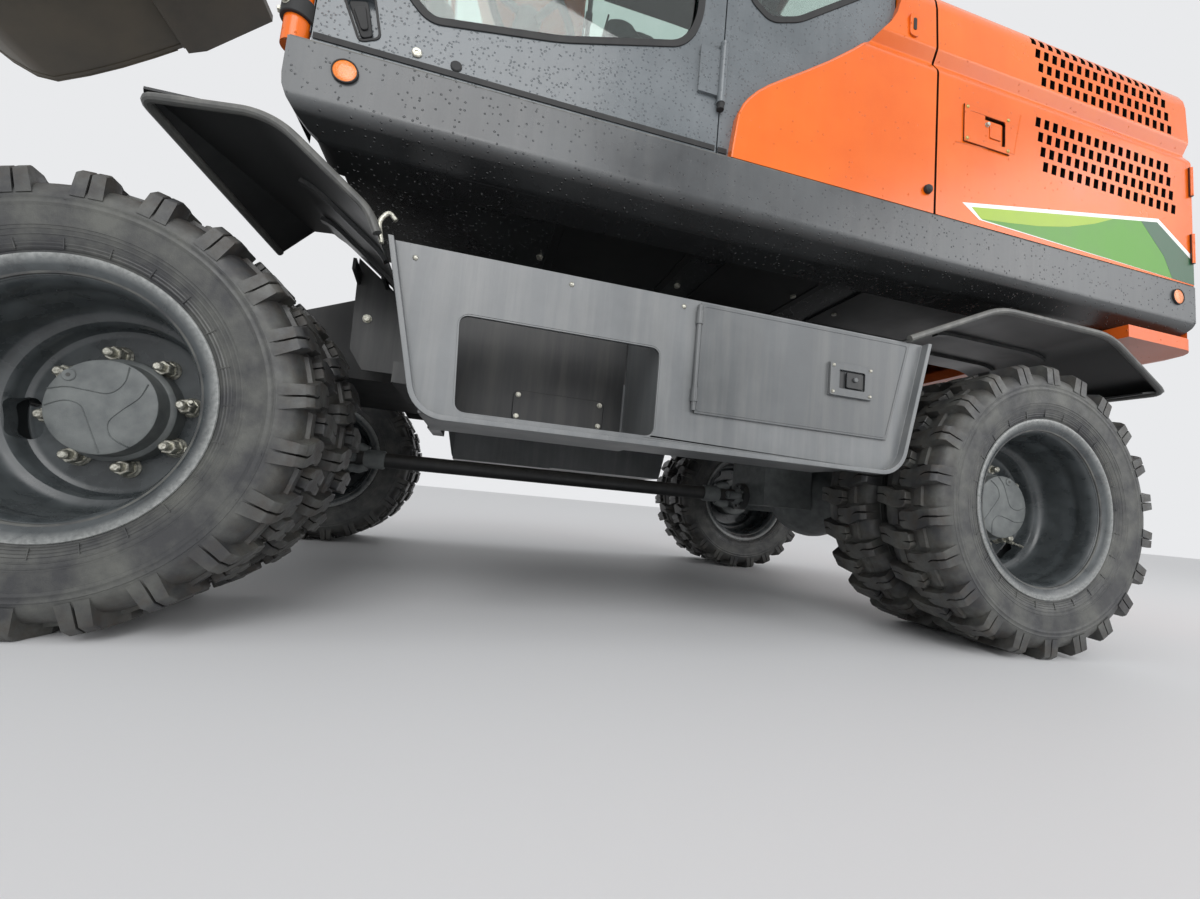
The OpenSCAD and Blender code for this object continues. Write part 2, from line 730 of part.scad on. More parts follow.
module cab_glass() {
    pane_in = 20;
    color([0.7, 0.85, 0.8, 0.4]) upper_at() {
        across(cab_out - pane_in, cab_out - pane_in + glass_t) rounded(30) offset(delta = -0.3)
            polygon(rear_pane);
        across(cab_in + 12, cab_in + 12 + glass_t) rounded(30) offset(delta = -0.3) polygon(right_pane);
        plate(-716, -716 + glass_t, cab_in + rear_in + 0.3, cab_out - rear_in - 0.3, rear_low + 0.3,
            front_high - 100.3);
        across(cab_in + front_in + 0.3, cab_out - front_in - 0.3)
            polygon(ribbon([[1006 - pane_in, front_low + 0.3], [1003 - pane_in, 2250],
                [843 - pane_in, front_high - 0.3]], glass_t));
    }
}
module cab_door() {
    hinge_low = 1588;
    color("#3c4248") upper_at() {
        difference() {
            across(cab_out - cab_t + 2, cab_out + 2) difference() {
                rounded(20) polygon(door_outline);
                rounded(40) polygon(door_window);
            }
            across(cab_out - 16, cab_out + 3) rounded(14) polygon(handle_cup);
        }
        for (z = [hinge_low, 2500]) {
            translate([door_hinge_x, cab_out + door_hinge_out, z]) cylinder(r = 12, h = 190);
            plate(door_hinge_x, door_hinge_x + 75, cab_out, cab_out + 12, z + 20, z + 170);
        }
    }
}
module door_glass() {
    color([0.7, 0.85, 0.8, 0.4]) upper_at() across(cab_out - 20, cab_out - 20 + glass_t)
        rounded(40) offset(delta = -0.3) polygon(door_window);
}
seat_y = (cab_in + cab_out) / 2;
seat_half = 240;
module seat() {
    color("#232425") upper_at() {
        across(seat_y - seat_half, seat_y + seat_half) rounded(42)
            polygon([[-250, 1850], [-250, 1950], [200, 1985], [262, 1960], [250, 1850]]);
        across(seat_y - seat_half + 10, seat_y + seat_half - 10) rounded(34) polygon([
            [-262, 1952], [-382, 2480], [-360, 2560], [-296, 2560], [-262, 2470], [-190, 2140], [-160, 1975]
        ]);
        across(seat_y - 140, seat_y + 140) rounded(34)
            polygon([[-372, 2560.3], [-400, 2700], [-330, 2730], [-292, 2690], [-300, 2560.3]]);
    }
}
module cab_controls() {
    color("#2c2e30") upper_at() {
        plate(-220, 200, seat_y - 180, seat_y + 180, deck_top + 46.3, 1849.7);
        for (s = [-1, 1]) {
            plate(-160, 260, seat_y + s * 300 - 55, seat_y + s * 300 + 55, 1980, 2060);
            plate(-160, -60, seat_y + s * 300 - 40, seat_y + s * 300 + 40, 1700, 1981);
            plate(-160, -60, seat_y - 300, seat_y + 300, 1700, 1760);
            translate([210, seat_y + s * 300, 2059]) cylinder(r = 18, h = 150);
        }
        translate([620, seat_y, deck_top + 57]) rotate([0, -12, 0]) cylinder(r = 45, h = 640);
        translate([480, seat_y, 2075]) rotate([0, -30, 0]) rotate_extrude() translate([180, 0])
            circle(r = 14);
        translate([480, seat_y, 2062]) rotate([0, -30, 0]) for (a = [0, 120, 240]) rotate([0, 0, a])
            translate([0, -12, 0]) cube([180, 24, 16]);
    }
}
tank_post_x = 540;
module rails() {
    color("#e2571d") upper_at() {
        translate([deck_front, cab_out - 10, deck_top + 0.3]) cylinder(r = 30, h = 900);
        translate([1000, -upper_half + 60, deck_top + 0.3]) cylinder(r = 18, h = 1000);
        translate([tank_post_x, -upper_half + 60, 2060.3]) cylinder(r = 18, h = 347);
        translate([tank_post_x, -upper_half + 60, deck_top + 990]) rotate([0, 90, 0])
            cylinder(r = 18, h = 1000 - tank_post_x);
    }
}
module lamps() {
    color("#f07a12") upper_at() {
        both_sides() for (x = [deck_front - 134, 104 - deck_rear])
            rod_y(x, 1350, 31, upper_half + 0.3, upper_half + 8);
        translate([-500, seat_y, cab_top + 0.3]) cylinder(r = 60, h = 110);
        for (y = [cab_in + 120, cab_out - 120])
            plate(700, 760, y - 60, y + 60, cab_top + 0.3, cab_top + 90);
    }
}

// Work gear, each piece drawn in its own pin line frame

function boom_tip() = [foot_x, foot_z] + polar(boom_angle, boom_len);
function bucket_pin() = boom_tip() + polar(arm_angle, arm_len);
module in_boom() {
    upper_at() translate([foot_x, 0, foot_z]) rotate([0, -boom_angle, 0]) children();
}
module in_arm() {
    upper_at() translate([boom_tip()[0], 0, boom_tip()[1]]) rotate([0, -arm_angle, 0]) children();
}
module in_bucket() {
    upper_at() translate([bucket_pin()[0], 0, bucket_pin()[1]]) rotate([0, -bucket_angle, 0]) children();
}
boom_rod_eye = [1750, 430];
boom_barrel_eye = [800, 1310];
arm_barrel_eye = [bend_x - 230, 1230];
arm_rod_eye = polar(160, 500);
bucket_barrel_eye = [200, 420];
rocker_pin = [arm_len - 380, 0];
rocker_len = 460;
link_len = 460;
link_pin_r = 340;
link_pin_angle = 85;
link_end = [arm_len, 0] + polar(bucket_angle + link_pin_angle - arm_angle, link_pin_r);
link_span = norm(link_end - rocker_pin);
rocker_angle = atan2(link_end[1] - rocker_pin[1], link_end[0] - rocker_pin[0])
    + acos((rocker_len * rocker_len + link_span * link_span - link_len * link_len) / (2 * rocker_len
        * link_span));
rocker_end = rocker_pin + polar(rocker_angle, rocker_len);

module boom() {
    color("#e2571d") in_boom() difference() {
        union() {
            across(-boom_w / 2, boom_w / 2) rounded(40) polygon([
                [-80, -90], [bend_x - 1200, 190], [bend_x - 500, 380], [bend_x - 150, 420],
                    [bend_x + 400, 330],
                [boom_len - 100, -110], [boom_len + 80, -90], [boom_len + 100, 60],
                    [boom_len + 20, 100], [boom_len - 750, 270],
                [bend_x + 500, 740], [bend_x + 100, 1000], [bend_x - 300, 1060], [bend_x - 800, 880],
                    [60, 110], [-90, 60]
            ]);
            rod_y(0, 0, 95, -boom_w / 2 - 9.7, boom_w / 2 + 9.7);
            for (s = [-1, 1]) across(s * 85 - 15, s * 85 + 15)
                polygon([
                    [bend_x - 400, 1000], arm_barrel_eye + [-70, 30], arm_barrel_eye + [0, 75],
                        arm_barrel_eye + [70, 30], [bend_x + 100, 980]
                ]);
            rod_y(boom_rod_eye[0], boom_rod_eye[1] + 60, 100, -boom_w / 2, boom_w / 2);
            for (s = [-1, 1]) rod_y(boom_rod_eye[0], boom_rod_eye[1], 60,
                s > 0 ? 100 : -cyl_y + cyl_eye + 3, s > 0 ? cyl_y - cyl_eye - 3 : -100);
        }
        rod_y(boom_len, 0, pin_r + run, -400, 400);
        across(-arm_w / 2 - gap, arm_w / 2 + gap) translate([boom_len - 380, -400]) square([800, 900]);
    }
    color("#8c8f92") in_boom() rod_y(0, 0, pin_r, -boom_w / 2 - 50, boom_w / 2 + 50);
}
module barrel(a, b, y, r) {
    v = b - a;
    len = norm(v) * 0.53;
    translate([a[0], y, a[1]]) rotate([0, -atan2(v[1], v[0]), 0]) {
        rod_y(0, 0, r * 0.95, -cyl_eye, cyl_eye);
        translate([0, -cyl_eye, -r * 0.6]) cube([90, 2 * cyl_eye, r * 1.2]);
        translate([56, 0, 0]) rotate([0, 90, 0]) difference() {
            cylinder(r = r, h = len);
            translate([0, 0, 120]) cylinder(r = r * 0.6 + run, h = len);
        }
    }
}
module piston_rod(a, b, y, r) {
    v = b - a;
    back = norm(v) * 0.5;
    translate([b[0], y, b[1]]) rotate([0, -atan2(v[1], v[0]), 0]) {
        rod_y(0, 0, r * 0.9, -cyl_eye, cyl_eye);
        translate([-back, 0, 0]) rotate([0, 90, 0]) cylinder(r = r * 0.6, h = back);
    }
}
boom_rod_world = [foot_x, foot_z] + turn(boom_rod_eye, boom_angle);
arm_rod_far = [boom_len, 0] + turn(arm_rod_eye, arm_angle - boom_angle);
module boom_barrels() {
    color("#2a2c2e") upper_at() for (s = [-1, 1]) barrel(boom_barrel_eye, boom_rod_world, s * cyl_y, 52);
}
module boom_rods() {
    color("#c9ccd0") upper_at() for (s = [-1, 1])
        piston_rod(boom_barrel_eye, boom_rod_world, s * cyl_y, 52);
}
module arm() {
    color("#e2571d") in_arm() difference() {
        union() {
            across(-arm_w / 2, arm_w / 2) rounded(30) polygon([
                [-60, -110], [120, -170], [600, -130], [arm_len - 40, -75], [arm_len + 80, -60],
                    [arm_len + 80, 55], [arm_len - 40, 70],
                [arm_len - 600, 85], [400, 190], [-80, 170]
            ]);
            rod_y(arm_len, 0, 85, -arm_w / 2 - 35.2, arm_w / 2 + 35.2);
            for (s = [-1, 1]) across(s * 85 - 15, s * 85 + 15)
                polygon([[60, 150], arm_rod_eye + [-10, 75], arm_rod_eye + [-75, 0],
                    arm_rod_eye + [-30, -70], [-40, -90]]);
            for (s = [-1, 1]) across(s * 85 - 15, s * 85 + 15)
                polygon([[0, 150], bucket_barrel_eye + [-60, 40], bucket_barrel_eye + [0, 70],
                    bucket_barrel_eye + [60, 40], [420, 170]]);
        }
        rod_y(arm_len, 0, pin_r + run, -400, 400);
    }
    color("#8c8f92") in_arm() rod_y(0, 0, pin_r, -boom_w / 2 - 20, boom_w / 2 + 20);
    color("#8c8f92") in_arm() rod_y(rocker_pin[0], rocker_pin[1], pin_r, -arm_w / 2 - 35, arm_w / 2 + 35);
}
module arm_barrel() {
    color("#2a2c2e") in_boom() barrel(arm_barrel_eye, arm_rod_far, 0, 60);
}
module arm_rod() {
    color("#c9ccd0") in_boom() piston_rod(arm_barrel_eye, arm_rod_far, 0, 60);
}
module bucket_barrel() {
    color("#2a2c2e") in_arm() barrel(bucket_barrel_eye, rocker_end, 0, 54);
}
module bucket_rod() {
    color("#c9ccd0") in_arm() piston_rod(bucket_barrel_eye, rocker_end, 0, 54);
}
module bar(a, b, y0, y1, r, hole) {
    difference() {
        across(y0, y1) hull() {
            translate(a) circle(r = r);
            translate(b) circle(r = r * 0.9);
        }
        rod_y(a[0], a[1], hole, y0 - 1, y1 + 1);
    }
}
rocker_y = arm_w / 2 + 5.3;
module rockers() {
    color("#2f3133") in_arm() {
        for (s = [-1, 1]) bar(rocker_pin, rocker_end, s > 0 ? rocker_y : -rocker_y - 22,
            s > 0 ? rocker_y + 22 : -rocker_y, 58, pin_r + run);
        for (s = [-1, 1]) rod_y(rocker_end[0], rocker_end[1], pin_r, s > 0 ? 60 : -rocker_y - 22,
            s > 0 ? rocker_y + 22 : -60);
    }
}
module bucket_link() {
    color("#2f3133") in_arm() {
        for (s = [-1, 1]) bar(rocker_end, link_end, s > 0 ? 90 : -arm_w / 2, s > 0 ? arm_w / 2 : -90,
            56, pin_r + run);
        rod_y(link_end[0], link_end[1], 50, -arm_w / 2 - 35.2, arm_w / 2 + 35.2);
    }
}
ear_y = arm_w / 2 + 35.5;
bucket_outer = [
    [110, -70], [112, 480], [126, 610], [171, 703], [270, 745], [373, 769], [450, 758], [557, 671],
        [663, 571], [770, 458], [849, 369],
    [1150, 30]
];
module bucket() {
    link_at = polar(link_pin_angle, link_pin_r);
    inside = bucket_w / 2 - 22;
    color("#2a2421") in_bucket() {
        across(-inside - 1, inside + 1) polygon(ribbon(bucket_outer, -24));
        across(-bucket_w / 2 + 4, bucket_w / 2 - 4)
            polygon([[880, 345], [904, 372], [973, 322], [bucket_r, 16], [bucket_r - 8, -18], [1110, 55]]);
        both_sides() across(inside, bucket_w / 2) offset(delta = 3)
            polygon(concat(bucket_outer, [[1130, -8], [700, -95]]));
        both_sides() across(ear_y, ear_y + 30) polygon([
            [125, -66], [60, -100], [-60, -90], [-96, 0], link_at + [-68, 10], link_at + [-40, 75],
                [122, 520]
        ]);
    }
    color("#8c8f92") in_bucket() rod_y(0, 0, pin_r, -ear_y - 34, ear_y + 34);
}

chassis();
slew_ring();
front_axle();
rear_axle();
drive_shaft();
fenders();
step_boxes();
step_door_left();
step_door_right();
towing_lugs();
steering_rod();
knuckle_left();
knuckle_right();
tyres_front_left();
tyres_front_right();
tyres_rear_left();
tyres_rear_right();
rims_front_left();
rims_front_right();
rims_rear_left();
rims_rear_right();
upper_frame();
counterweight();
engine();
body_panels();
side_door_left();
side_door_right();
hood_lid();
fuel_tank();
exhaust();
cab_shell();
cab_glass();
cab_door();
door_glass();
seat();
cab_controls();
rails();
lamps();
boom();
boom_barrels();
boom_rods();
arm();
arm_barrel();
arm_rod();
bucket_barrel();
bucket_rod();
rockers();
bucket_link();
bucket();
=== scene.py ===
import json
import math

import bmesh
import bpy
from mathutils import Matrix, Vector


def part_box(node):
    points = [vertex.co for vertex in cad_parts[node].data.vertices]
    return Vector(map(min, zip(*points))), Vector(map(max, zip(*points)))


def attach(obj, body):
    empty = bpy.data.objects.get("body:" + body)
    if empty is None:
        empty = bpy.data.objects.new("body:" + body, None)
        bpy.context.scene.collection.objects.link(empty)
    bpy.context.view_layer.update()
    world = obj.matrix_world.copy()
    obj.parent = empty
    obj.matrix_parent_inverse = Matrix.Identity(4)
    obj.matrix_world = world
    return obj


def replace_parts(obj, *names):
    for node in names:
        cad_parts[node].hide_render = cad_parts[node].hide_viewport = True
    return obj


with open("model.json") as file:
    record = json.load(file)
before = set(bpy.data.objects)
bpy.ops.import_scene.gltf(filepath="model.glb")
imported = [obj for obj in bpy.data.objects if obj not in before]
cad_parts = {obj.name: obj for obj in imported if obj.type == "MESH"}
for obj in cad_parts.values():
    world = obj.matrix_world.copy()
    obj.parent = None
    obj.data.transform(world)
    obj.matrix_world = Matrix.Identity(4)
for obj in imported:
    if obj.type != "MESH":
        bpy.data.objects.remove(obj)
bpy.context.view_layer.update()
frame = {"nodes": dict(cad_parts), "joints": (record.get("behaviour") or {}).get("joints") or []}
nodes = frame["nodes"]

# ---- Studio: a pale floor, soft lamps and the camera ----
# The machine was seen from knee height beside its left side, through a wide
# phone lens that looks a little up and to the rear. Everything here is only
# the place where it stands.


def linear(hex_colour):
    """An sRGB hex colour as linear RGBA."""
    out = []
    for i in (1, 3, 5):
        c = int(hex_colour[i : i + 2], 16) / 255
        out.append(c / 12.92 if c <= 0.04045 else ((c + 0.055) / 1.055) ** 2.4)
    return (*out, 1.0)


def add(tree, kind, inputs=(), stops=(), **settings):
    """Adds a shader node.

    Inputs go in their order, or by number in a dict. Settings name properties or inputs.
    A node stands for its first output and a hex colour for its linear value. Stops are
    the (place, colour) pairs of a colour ramp.
    """
    made = tree.nodes.new("ShaderNode" + kind)
    if not isinstance(inputs, (tuple, dict)):
        inputs = (inputs,)
    given = dict(inputs) if isinstance(inputs, dict) else dict(enumerate(inputs))
    for name, value in settings.items():
        if hasattr(made, name):
            setattr(made, name, value)
        else:
            given[name.replace("_", " ")] = value
    for name, value in given.items():
        if isinstance(value, bpy.types.Node):
            value = value.outputs[0]
        if isinstance(value, bpy.types.NodeSocket):
            tree.links.new(value, made.inputs[name])
        else:
            made.inputs[name].default_value = linear(value) if isinstance(value, str) else value
    for i, (place, colour) in enumerate(stops):
        made.color_ramp.elements[i].position, made.color_ramp.elements[i].color = place, linear(colour)
    return made


def new_material(name):
    """An empty node material, its tree, and the object's own coordinates for its patterns."""
    material = bpy.data.materials.new(name)
    material.use_nodes = True
    tree = material.node_tree
    tree.nodes.clear()
    return material, tree, add(tree, "TexCoord").outputs["Object"]


studio_pale = "#E9EAEC"
floor_material, tree = new_material("pale_floor")[:2]
floor_coat = add(tree, "BsdfPrincipled", Base_Color="#DADBDD", Roughness=0.6)
add(tree, "OutputMaterial", floor_coat)
floor_mesh = bpy.data.meshes.new("floor")
floor_mesh.from_pydata([(-60, -60, 0), (60, -60, 0), (60, 60, 0), (-60, 60, 0)], [], [(0, 1, 2, 3)])
floor = bpy.data.objects.new("floor", floor_mesh)
floor_mesh.materials.append(floor_material)
bpy.context.scene.collection.objects.link(floor)

world = bpy.data.worlds.new("studio")
bpy.context.scene.world = world
world.use_nodes = True
tree = world.node_tree
tree.nodes.clear()
path = add(tree, "LightPath")
through = add(tree, "Math", (path.outputs["Is Camera Ray"], path.outputs["Is Transmission Ray"]), operation="MAXIMUM")
seen = add(tree, "Math", (through, path.outputs["Is Glossy Ray"]), operation="MAXIMUM")
soft_sky = add(tree, "Background", Color="#FFFFFF", Strength=0.72)
backdrop = add(tree, "Background", Color=studio_pale, Strength=1.0)
mixed = add(tree, "MixShader", (seen, soft_sky, backdrop))
add(tree, "OutputWorld", mixed)

for name, place, target, size, watts in (
    ("key", (1.5, 9.0, 6.5), (-0.6, 0.5, 1.4), 6.0, 420),
    ("fill", (-8.0, 7.0, 4.0), (-0.8, 0.8, 1.2), 5.0, 200),
    ("low", (0.0, 7.2, 2.2), (-0.6, 0.8, 0.9), 4.0, 75),
):
    lamp = bpy.data.lights.new(name, "AREA")
    lamp.size, lamp.energy = size, watts
    lamp_object = bpy.data.objects.new(name, lamp)
    lamp_object.location = place
    lamp_object.rotation_euler = (Vector(target) - Vector(place)).to_track_quat("-Z", "Y").to_euler()
    bpy.context.scene.collection.objects.link(lamp_object)

focal_px, photo_px = 494.8, 1200
camera = bpy.data.cameras.new("camera")
camera.sensor_width = 36
camera.lens = focal_px / photo_px * 36
camera.clip_start = 0.02
camera_object = bpy.data.objects.new("camera", camera)
view_turn = Vector((-0.0878, -0.2439, 0.104))
level_view = Matrix(((-1, 0, 0), (0, 0, -1), (0, -1, 0)))
right, down, ahead = Matrix.Rotation(view_turn.length, 3, view_turn.normalized()) @ level_view
place = Matrix((right, -down, -ahead)).transposed().to_4x4()
place.translation = (-0.0429, 2.4008, 0.3764)
camera_object.matrix_world = place
bpy.context.scene.collection.objects.link(camera_object)
bpy.context.scene.camera = camera_object
bpy.context.scene.view_settings.view_transform = "Standard"

# ---- Tyres ----
# Eight 20-inch bias-ply tyres in four twin pairs, moulded in one piece from
# black rubber. Each shoulder has tall lugs that lean over the crown, every lug
# cut by sipes, and the sidewall has moulded rings over the rim's flange.

tyre_low, tyre_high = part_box("tyres_front_left")
wheel_r = (tyre_high.z - tyre_low.z) / 2
tyre_half = 0.118
outer_y = tyre_high.y - tyre_half
inner_y = tyre_low.y + tyre_half
lugs = 22
lug_face = wheel_r - 0.001


def bridge(bm, rings, wrap=True, caps=True, material=0):
    """Faces between rings of vertices that follow each other, and over both ends."""
    count = len(rings[0])
    faces = [
        bm.faces.new((a[k], a[(k + 1) % count], b[(k + 1) % count], b[k]))
        for a, b in zip(rings, rings[1:]) for k in range(count if wrap else count - 1)
    ]
    if caps:
        faces += [bm.faces.new(rings[0]), bm.faces.new(rings[-1])]
    for f in faces:
        f.material_index = material


def put(bm, first, where):
    """Moves every vertex made since the count `first` by a matrix."""
    bm.verts.ensure_lookup_table()
    for v in bm.verts[first:]:
        v.co = where @ v.co


def turned(degrees, axis):
    """A turn about an axis, by its letter."""
    return Matrix.Rotation(math.radians(degrees), 4, axis)


def mirrored(side):
    """Nothing for the left side, 1, and a mirror across the machine for the right one, -1."""
    return Matrix.Diagonal((1, side, 1, 1))


def facing(at, way):
    """A matrix that puts what is drawn along +Y at a point, looking along way."""
    return Matrix.Translation(at) @ Vector(way).to_track_quat("Y", "Z").to_matrix().to_4x4()


def lathe(bm, profile, steps, where=None, closed=False, material=0):
    """Turns (radius, y) points about the Y axis, as a strip or a closed ring, and sets them in place."""
    first = len(bm.verts)
    rings = []
    for i in range(steps):
        a = math.radians(360 * i / steps)
        rings.append([bm.verts.new((r * math.sin(a), y, r * math.cos(a))) for r, y in profile])
    bridge(bm, [*rings, rings[0]], closed, False, material)
    if where:
        put(bm, first, where)


def to_mesh(name, bm, materials, sharp=32.0):
    """Turns a bmesh into a mesh, smooth but for edges sharper than the angle given."""
    bmesh.ops.recalc_face_normals(bm, faces=bm.faces)
    mesh = bpy.data.meshes.new(name)
    bm.to_mesh(mesh)
    bm.free()
    mesh.polygons.foreach_set("use_smooth", [True] * len(mesh.polygons))
    mesh.set_sharp_from_angle(angle=math.radians(sharp))
    for m in materials:
        mesh.materials.append(m)
    return mesh


def make_piece(name, bm, materials, body=None, sharp=32.0):
    """A piece that is drawn in place and rides on a body."""
    return place_piece(name, to_mesh(name, bm, materials, sharp), Matrix(), body)


def place_piece(name, mesh, where, body=None):
    """One more object of a mesh, set in place and riding on a body."""
    piece = bpy.data.objects.new(name, mesh)
    piece.matrix_world = where
    bpy.context.scene.collection.objects.link(piece)
    if body:
        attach(piece, body)
    return piece


def from_axle(tree, spot):
    """The distance from the wheel's axle, as a node."""
    split = add(tree, "SeparateXYZ", spot)
    x2 = add(tree, "Math", (split.outputs["X"], split.outputs["X"]), operation="MULTIPLY")
    r2 = add(tree, "Math", (split.outputs["Z"], split.outputs["Z"], x2), operation="MULTIPLY_ADD")
    return add(tree, "Math", r2, operation="SQRT")


# Black carbon rubber out of a steel mould: dark, a little blue where it is
# clean and wet, brown with road dirt between the lugs and low on the sidewall.
rubber, tree, spot = new_material("moulded_tyre_rubber")
cloud = add(tree, "TexNoise", spot, Scale=9.0, Detail=7.0, Roughness=0.62)
patch = add(tree, "ValToRGB", cloud, stops=((0.4, "#2F3032"), (0.66, "#555652")))
# Dirt lies where the radius is near the carcass between the lugs.
tread = add(tree, "MapRange", (from_axle(tree, spot), 0.405, 0.45, 0.0, 1.0))
grime = add(tree, "TexNoise", spot, Scale=26.0, Detail=5.0, Roughness=0.7)
muddy = add(tree, "MapRange", (grime, 0.42, 0.68, 0.0, 0.75))
dirt = add(tree, "Math", (tread, muddy), operation="MULTIPLY")
coat = add(tree, "Mix", {0: dirt, 6: patch, 7: "#3C3630"}, data_type="RGBA")
shine = add(tree, "MapRange", (grime, 0.3, 0.7, 0.36, 0.62))
# Mould grain of about 1.5 mm, drawn so that it shows from a step away.
grain = add(tree, "TexNoise", spot, Scale=420.0, Detail=2.0)
rough = add(tree, "Bump", Height=grain, Strength=0.25, Distance=0.0012)
swell = add(tree, "Bump", Height=cloud, Normal=rough, Strength=0.35, Distance=0.006)
add(tree, "OutputMaterial", add(tree, "BsdfPrincipled", Base_Color=coat.outputs[2], Roughness=shine, Normal=swell,
                                IOR=1.52))

half_tyre = [
    (0.2545, 0.08), (0.257, 0.09), (0.29, 0.098), (0.3, 0.1005), (0.3025, 0.1045), (0.305, 0.106), (0.3075, 0.105),
    (0.3095, 0.1062), (0.312, 0.1078), (0.3145, 0.107), (0.3165, 0.1082), (0.3195, 0.109), (0.321, 0.108),
    (0.328, 0.1098), (0.329, 0.111), (0.331, 0.1112), (0.332, 0.1106), (0.339, 0.1122), (0.34, 0.1132),
    (0.342, 0.1134), (0.343, 0.1128), (0.356, 0.1148), (0.375, 0.1166), (0.39, 0.1172), (0.3915, 0.118),
    (0.3935, 0.118), (0.395, 0.1172), (0.402, 0.117), (0.4035, 0.1178), (0.4055, 0.1178), (0.407, 0.1166),
    (0.417, 0.1155), (0.425, 0.112), (0.433, 0.107), (0.441, 0.1), (0.448, 0.089), (0.4535, 0.07), (0.4565, 0.04),
    (0.457, 0.0)
]
bm = bmesh.new()
lathe(bm, half_tyre + [(r, -y) for r, y in reversed(half_tyre[:-1])], 132)

# One lug seen from above: x runs round the tyre and y across it. The slots in
# its outline are the sipes, 4 mm wide and as deep as the lug.
lug_plan = [
    (-0.03, 0.114), (-0.0062, 0.114), (-0.0062, 0.098), (-0.006, 0.074), (0.006, 0.056), (0.0095, 0.059),
    (-0.0016, 0.0765), (-0.0018, 0.098), (-0.0018, 0.114), (0.022, 0.114), (0.0235, 0.098), (0.03, 0.066),
    (0.043, 0.042), (0.04, -0.002), (0.027, -0.014), (0.0165, -0.014), (0.0165, 0.016), (0.0125, 0.016),
    (0.0125, -0.014), (-0.01, -0.014), (-0.017, -0.002), (-0.014, 0.04), (-0.026, 0.064), (-0.029, 0.098)
]
lug_middle = Vector((0.004, 0.045))
# Points nearer the lug's middle line than this stand in a sipe, and get no draft.
sipe_reach = 0.0175
foot, head = [], []
for x, y in lug_plan:
    if y > 0.11:
        foot.append((x * 1.12, 0.1178, 0.412))
        head.append((x, y, lug_face - 0.013))
    else:
        spread = Vector((x, y))
        if abs(x) > sipe_reach:
            spread += (spread - lug_middle).normalized() * 0.0045
        foot.append((spread.x, min(spread.y, 0.1), 0.436))
        head.append((x, y, lug_face))
lug_bm = bmesh.new()
low, top = ([lug_bm.verts.new(p) for p in ring] for ring in (foot, head))
bridge(lug_bm, [low, top], caps=False)
faces = [lug_bm.faces.new(f) for f in (top[:3] + top[23:], top[8:11] + top[7:8], top[2:8] + top[10:])]
edges = list({e for f in faces for e in f.edges})
bmesh.ops.bevel(lug_bm, geom=edges, offset=0.0022, segments=1, affect="EDGES", clamp_overlap=True)
bmesh.ops.recalc_face_normals(lug_bm, faces=lug_bm.faces)
lug_mesh = bpy.data.meshes.new("lug")
lug_bm.to_mesh(lug_mesh)
lug_bm.free()


def raised(where, foot, head):
    """A small block moulded on the tyre, open at its foot."""
    low, top = ([bm.verts.new(where @ Vector(p)) for p in ring] for ring in (foot, head))
    bridge(bm, [low, top], caps=False)
    bm.faces.new(top)


for side in (1, -1):
    for i in range(lugs):
        turn = (i + (0 if side > 0 else 0.5)) * 360 / lugs
        first = len(bm.verts)
        bm.from_mesh(lug_mesh)
        put(bm, first, turned(turn, "Y") @ mirrored(side))
        # A low tie bar joins each lug to the next across the groove.
        bar = [(-0.034, 0.03, 0.452), (0.034, 0.03, 0.452), (0.034, 0.06, 0.45), (-0.034, 0.06, 0.45)]
        raised(turned(turn + 180 / lugs, "Y") @ mirrored(side), bar,
               [(x * 0.9, y * 0.8 + 0.009, 0.4635) for x, y, z in bar])
# Short ribs cross the bead rings, and small vent nibs dot the shoulder ring.
for side in (1, -1):
    for i in range(24):
        for r0, r1, y, w in ((0.302, 0.323, 0.1092, 0.0012), (0.3985, 0.4015, 0.1167, 0.0015)):
            raised(turned(i * 15 + 4, "Y") @ mirrored(side), *(
                [(-w, h, r0), (w, h, r0), (w, h + 0.003, r1), (-w, h + 0.003, r1)] for h in (y - 0.008, y - 0.0018)
            ))
# Three thin raised fields on the sidewall, with slanted ends, left plain.
for side in (1, -1):
    for start, sweep in ((-68, 100), (52, 96), (168, 104)):
        rows, steps = [], 30
        for i in range(steps + 1):
            row, at_end = [], i in (0, steps)
            for k, r in enumerate((0.346, 0.3472, 0.3848, 0.386)):
                lean = (k - 1.5) * (1 if i else -1) if at_end else 0
                t = math.radians(start + sweep * i / steps + lean)
                y = 0.116 - abs(r - 0.385) * 0.075 + (0 if k in (0, 3) or at_end else 0.0013)
                row.append(bm.verts.new((r * math.sin(t), side * y, r * math.cos(t))))
            rows.append(row)
        bridge(bm, rows, False, False)

tyre_mesh = to_mesh("tyre_pattern", bm, [rubber])
wheel_ends = [("front", "left"), ("front", "right"), ("rear", "left"), ("rear", "right")]
wheel_places = {}
for end, side in wheel_ends:
    low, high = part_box(f"tyres_{end}_{side}")
    out_way = 1 if side == "left" else -1
    centre = Vector(((low.x + high.x) / 2, 0, (low.z + high.z) / 2))
    wheel_places[end, side] = (centre, out_way)
    for twin, y in (("outer", outer_y), ("inner", inner_y)):
        where = Matrix.Translation(centre + Vector((0, out_way * y, 0))) @ turned(0 if side == "left" else 180, "Z")
        piece = place_piece(f"tyre_{end}_{side}_{twin}", tyre_mesh, where, f"wheels_{end}_{side}")
        if twin == "outer":
            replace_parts(piece, f"tyres_{end}_{side}")

# ---- Rims and hubs ----
# Pressed steel rims in twin pairs, bolted disc to disc on a cast hub with a
# deep dish in the outer wheel. Dark grey wheel enamel over plain steel, with a
# painted highlight: a pale band along the flange's lip.

wheel_enamel, tree, spot = new_material("grey_wheel_enamel")
cloud = add(tree, "TexNoise", spot, Scale=14.0, Detail=6.0, Roughness=0.6)
tone = add(tree, "ValToRGB", cloud, stops=((0.3, "#2F3335"), (0.74, "#4D5254")))
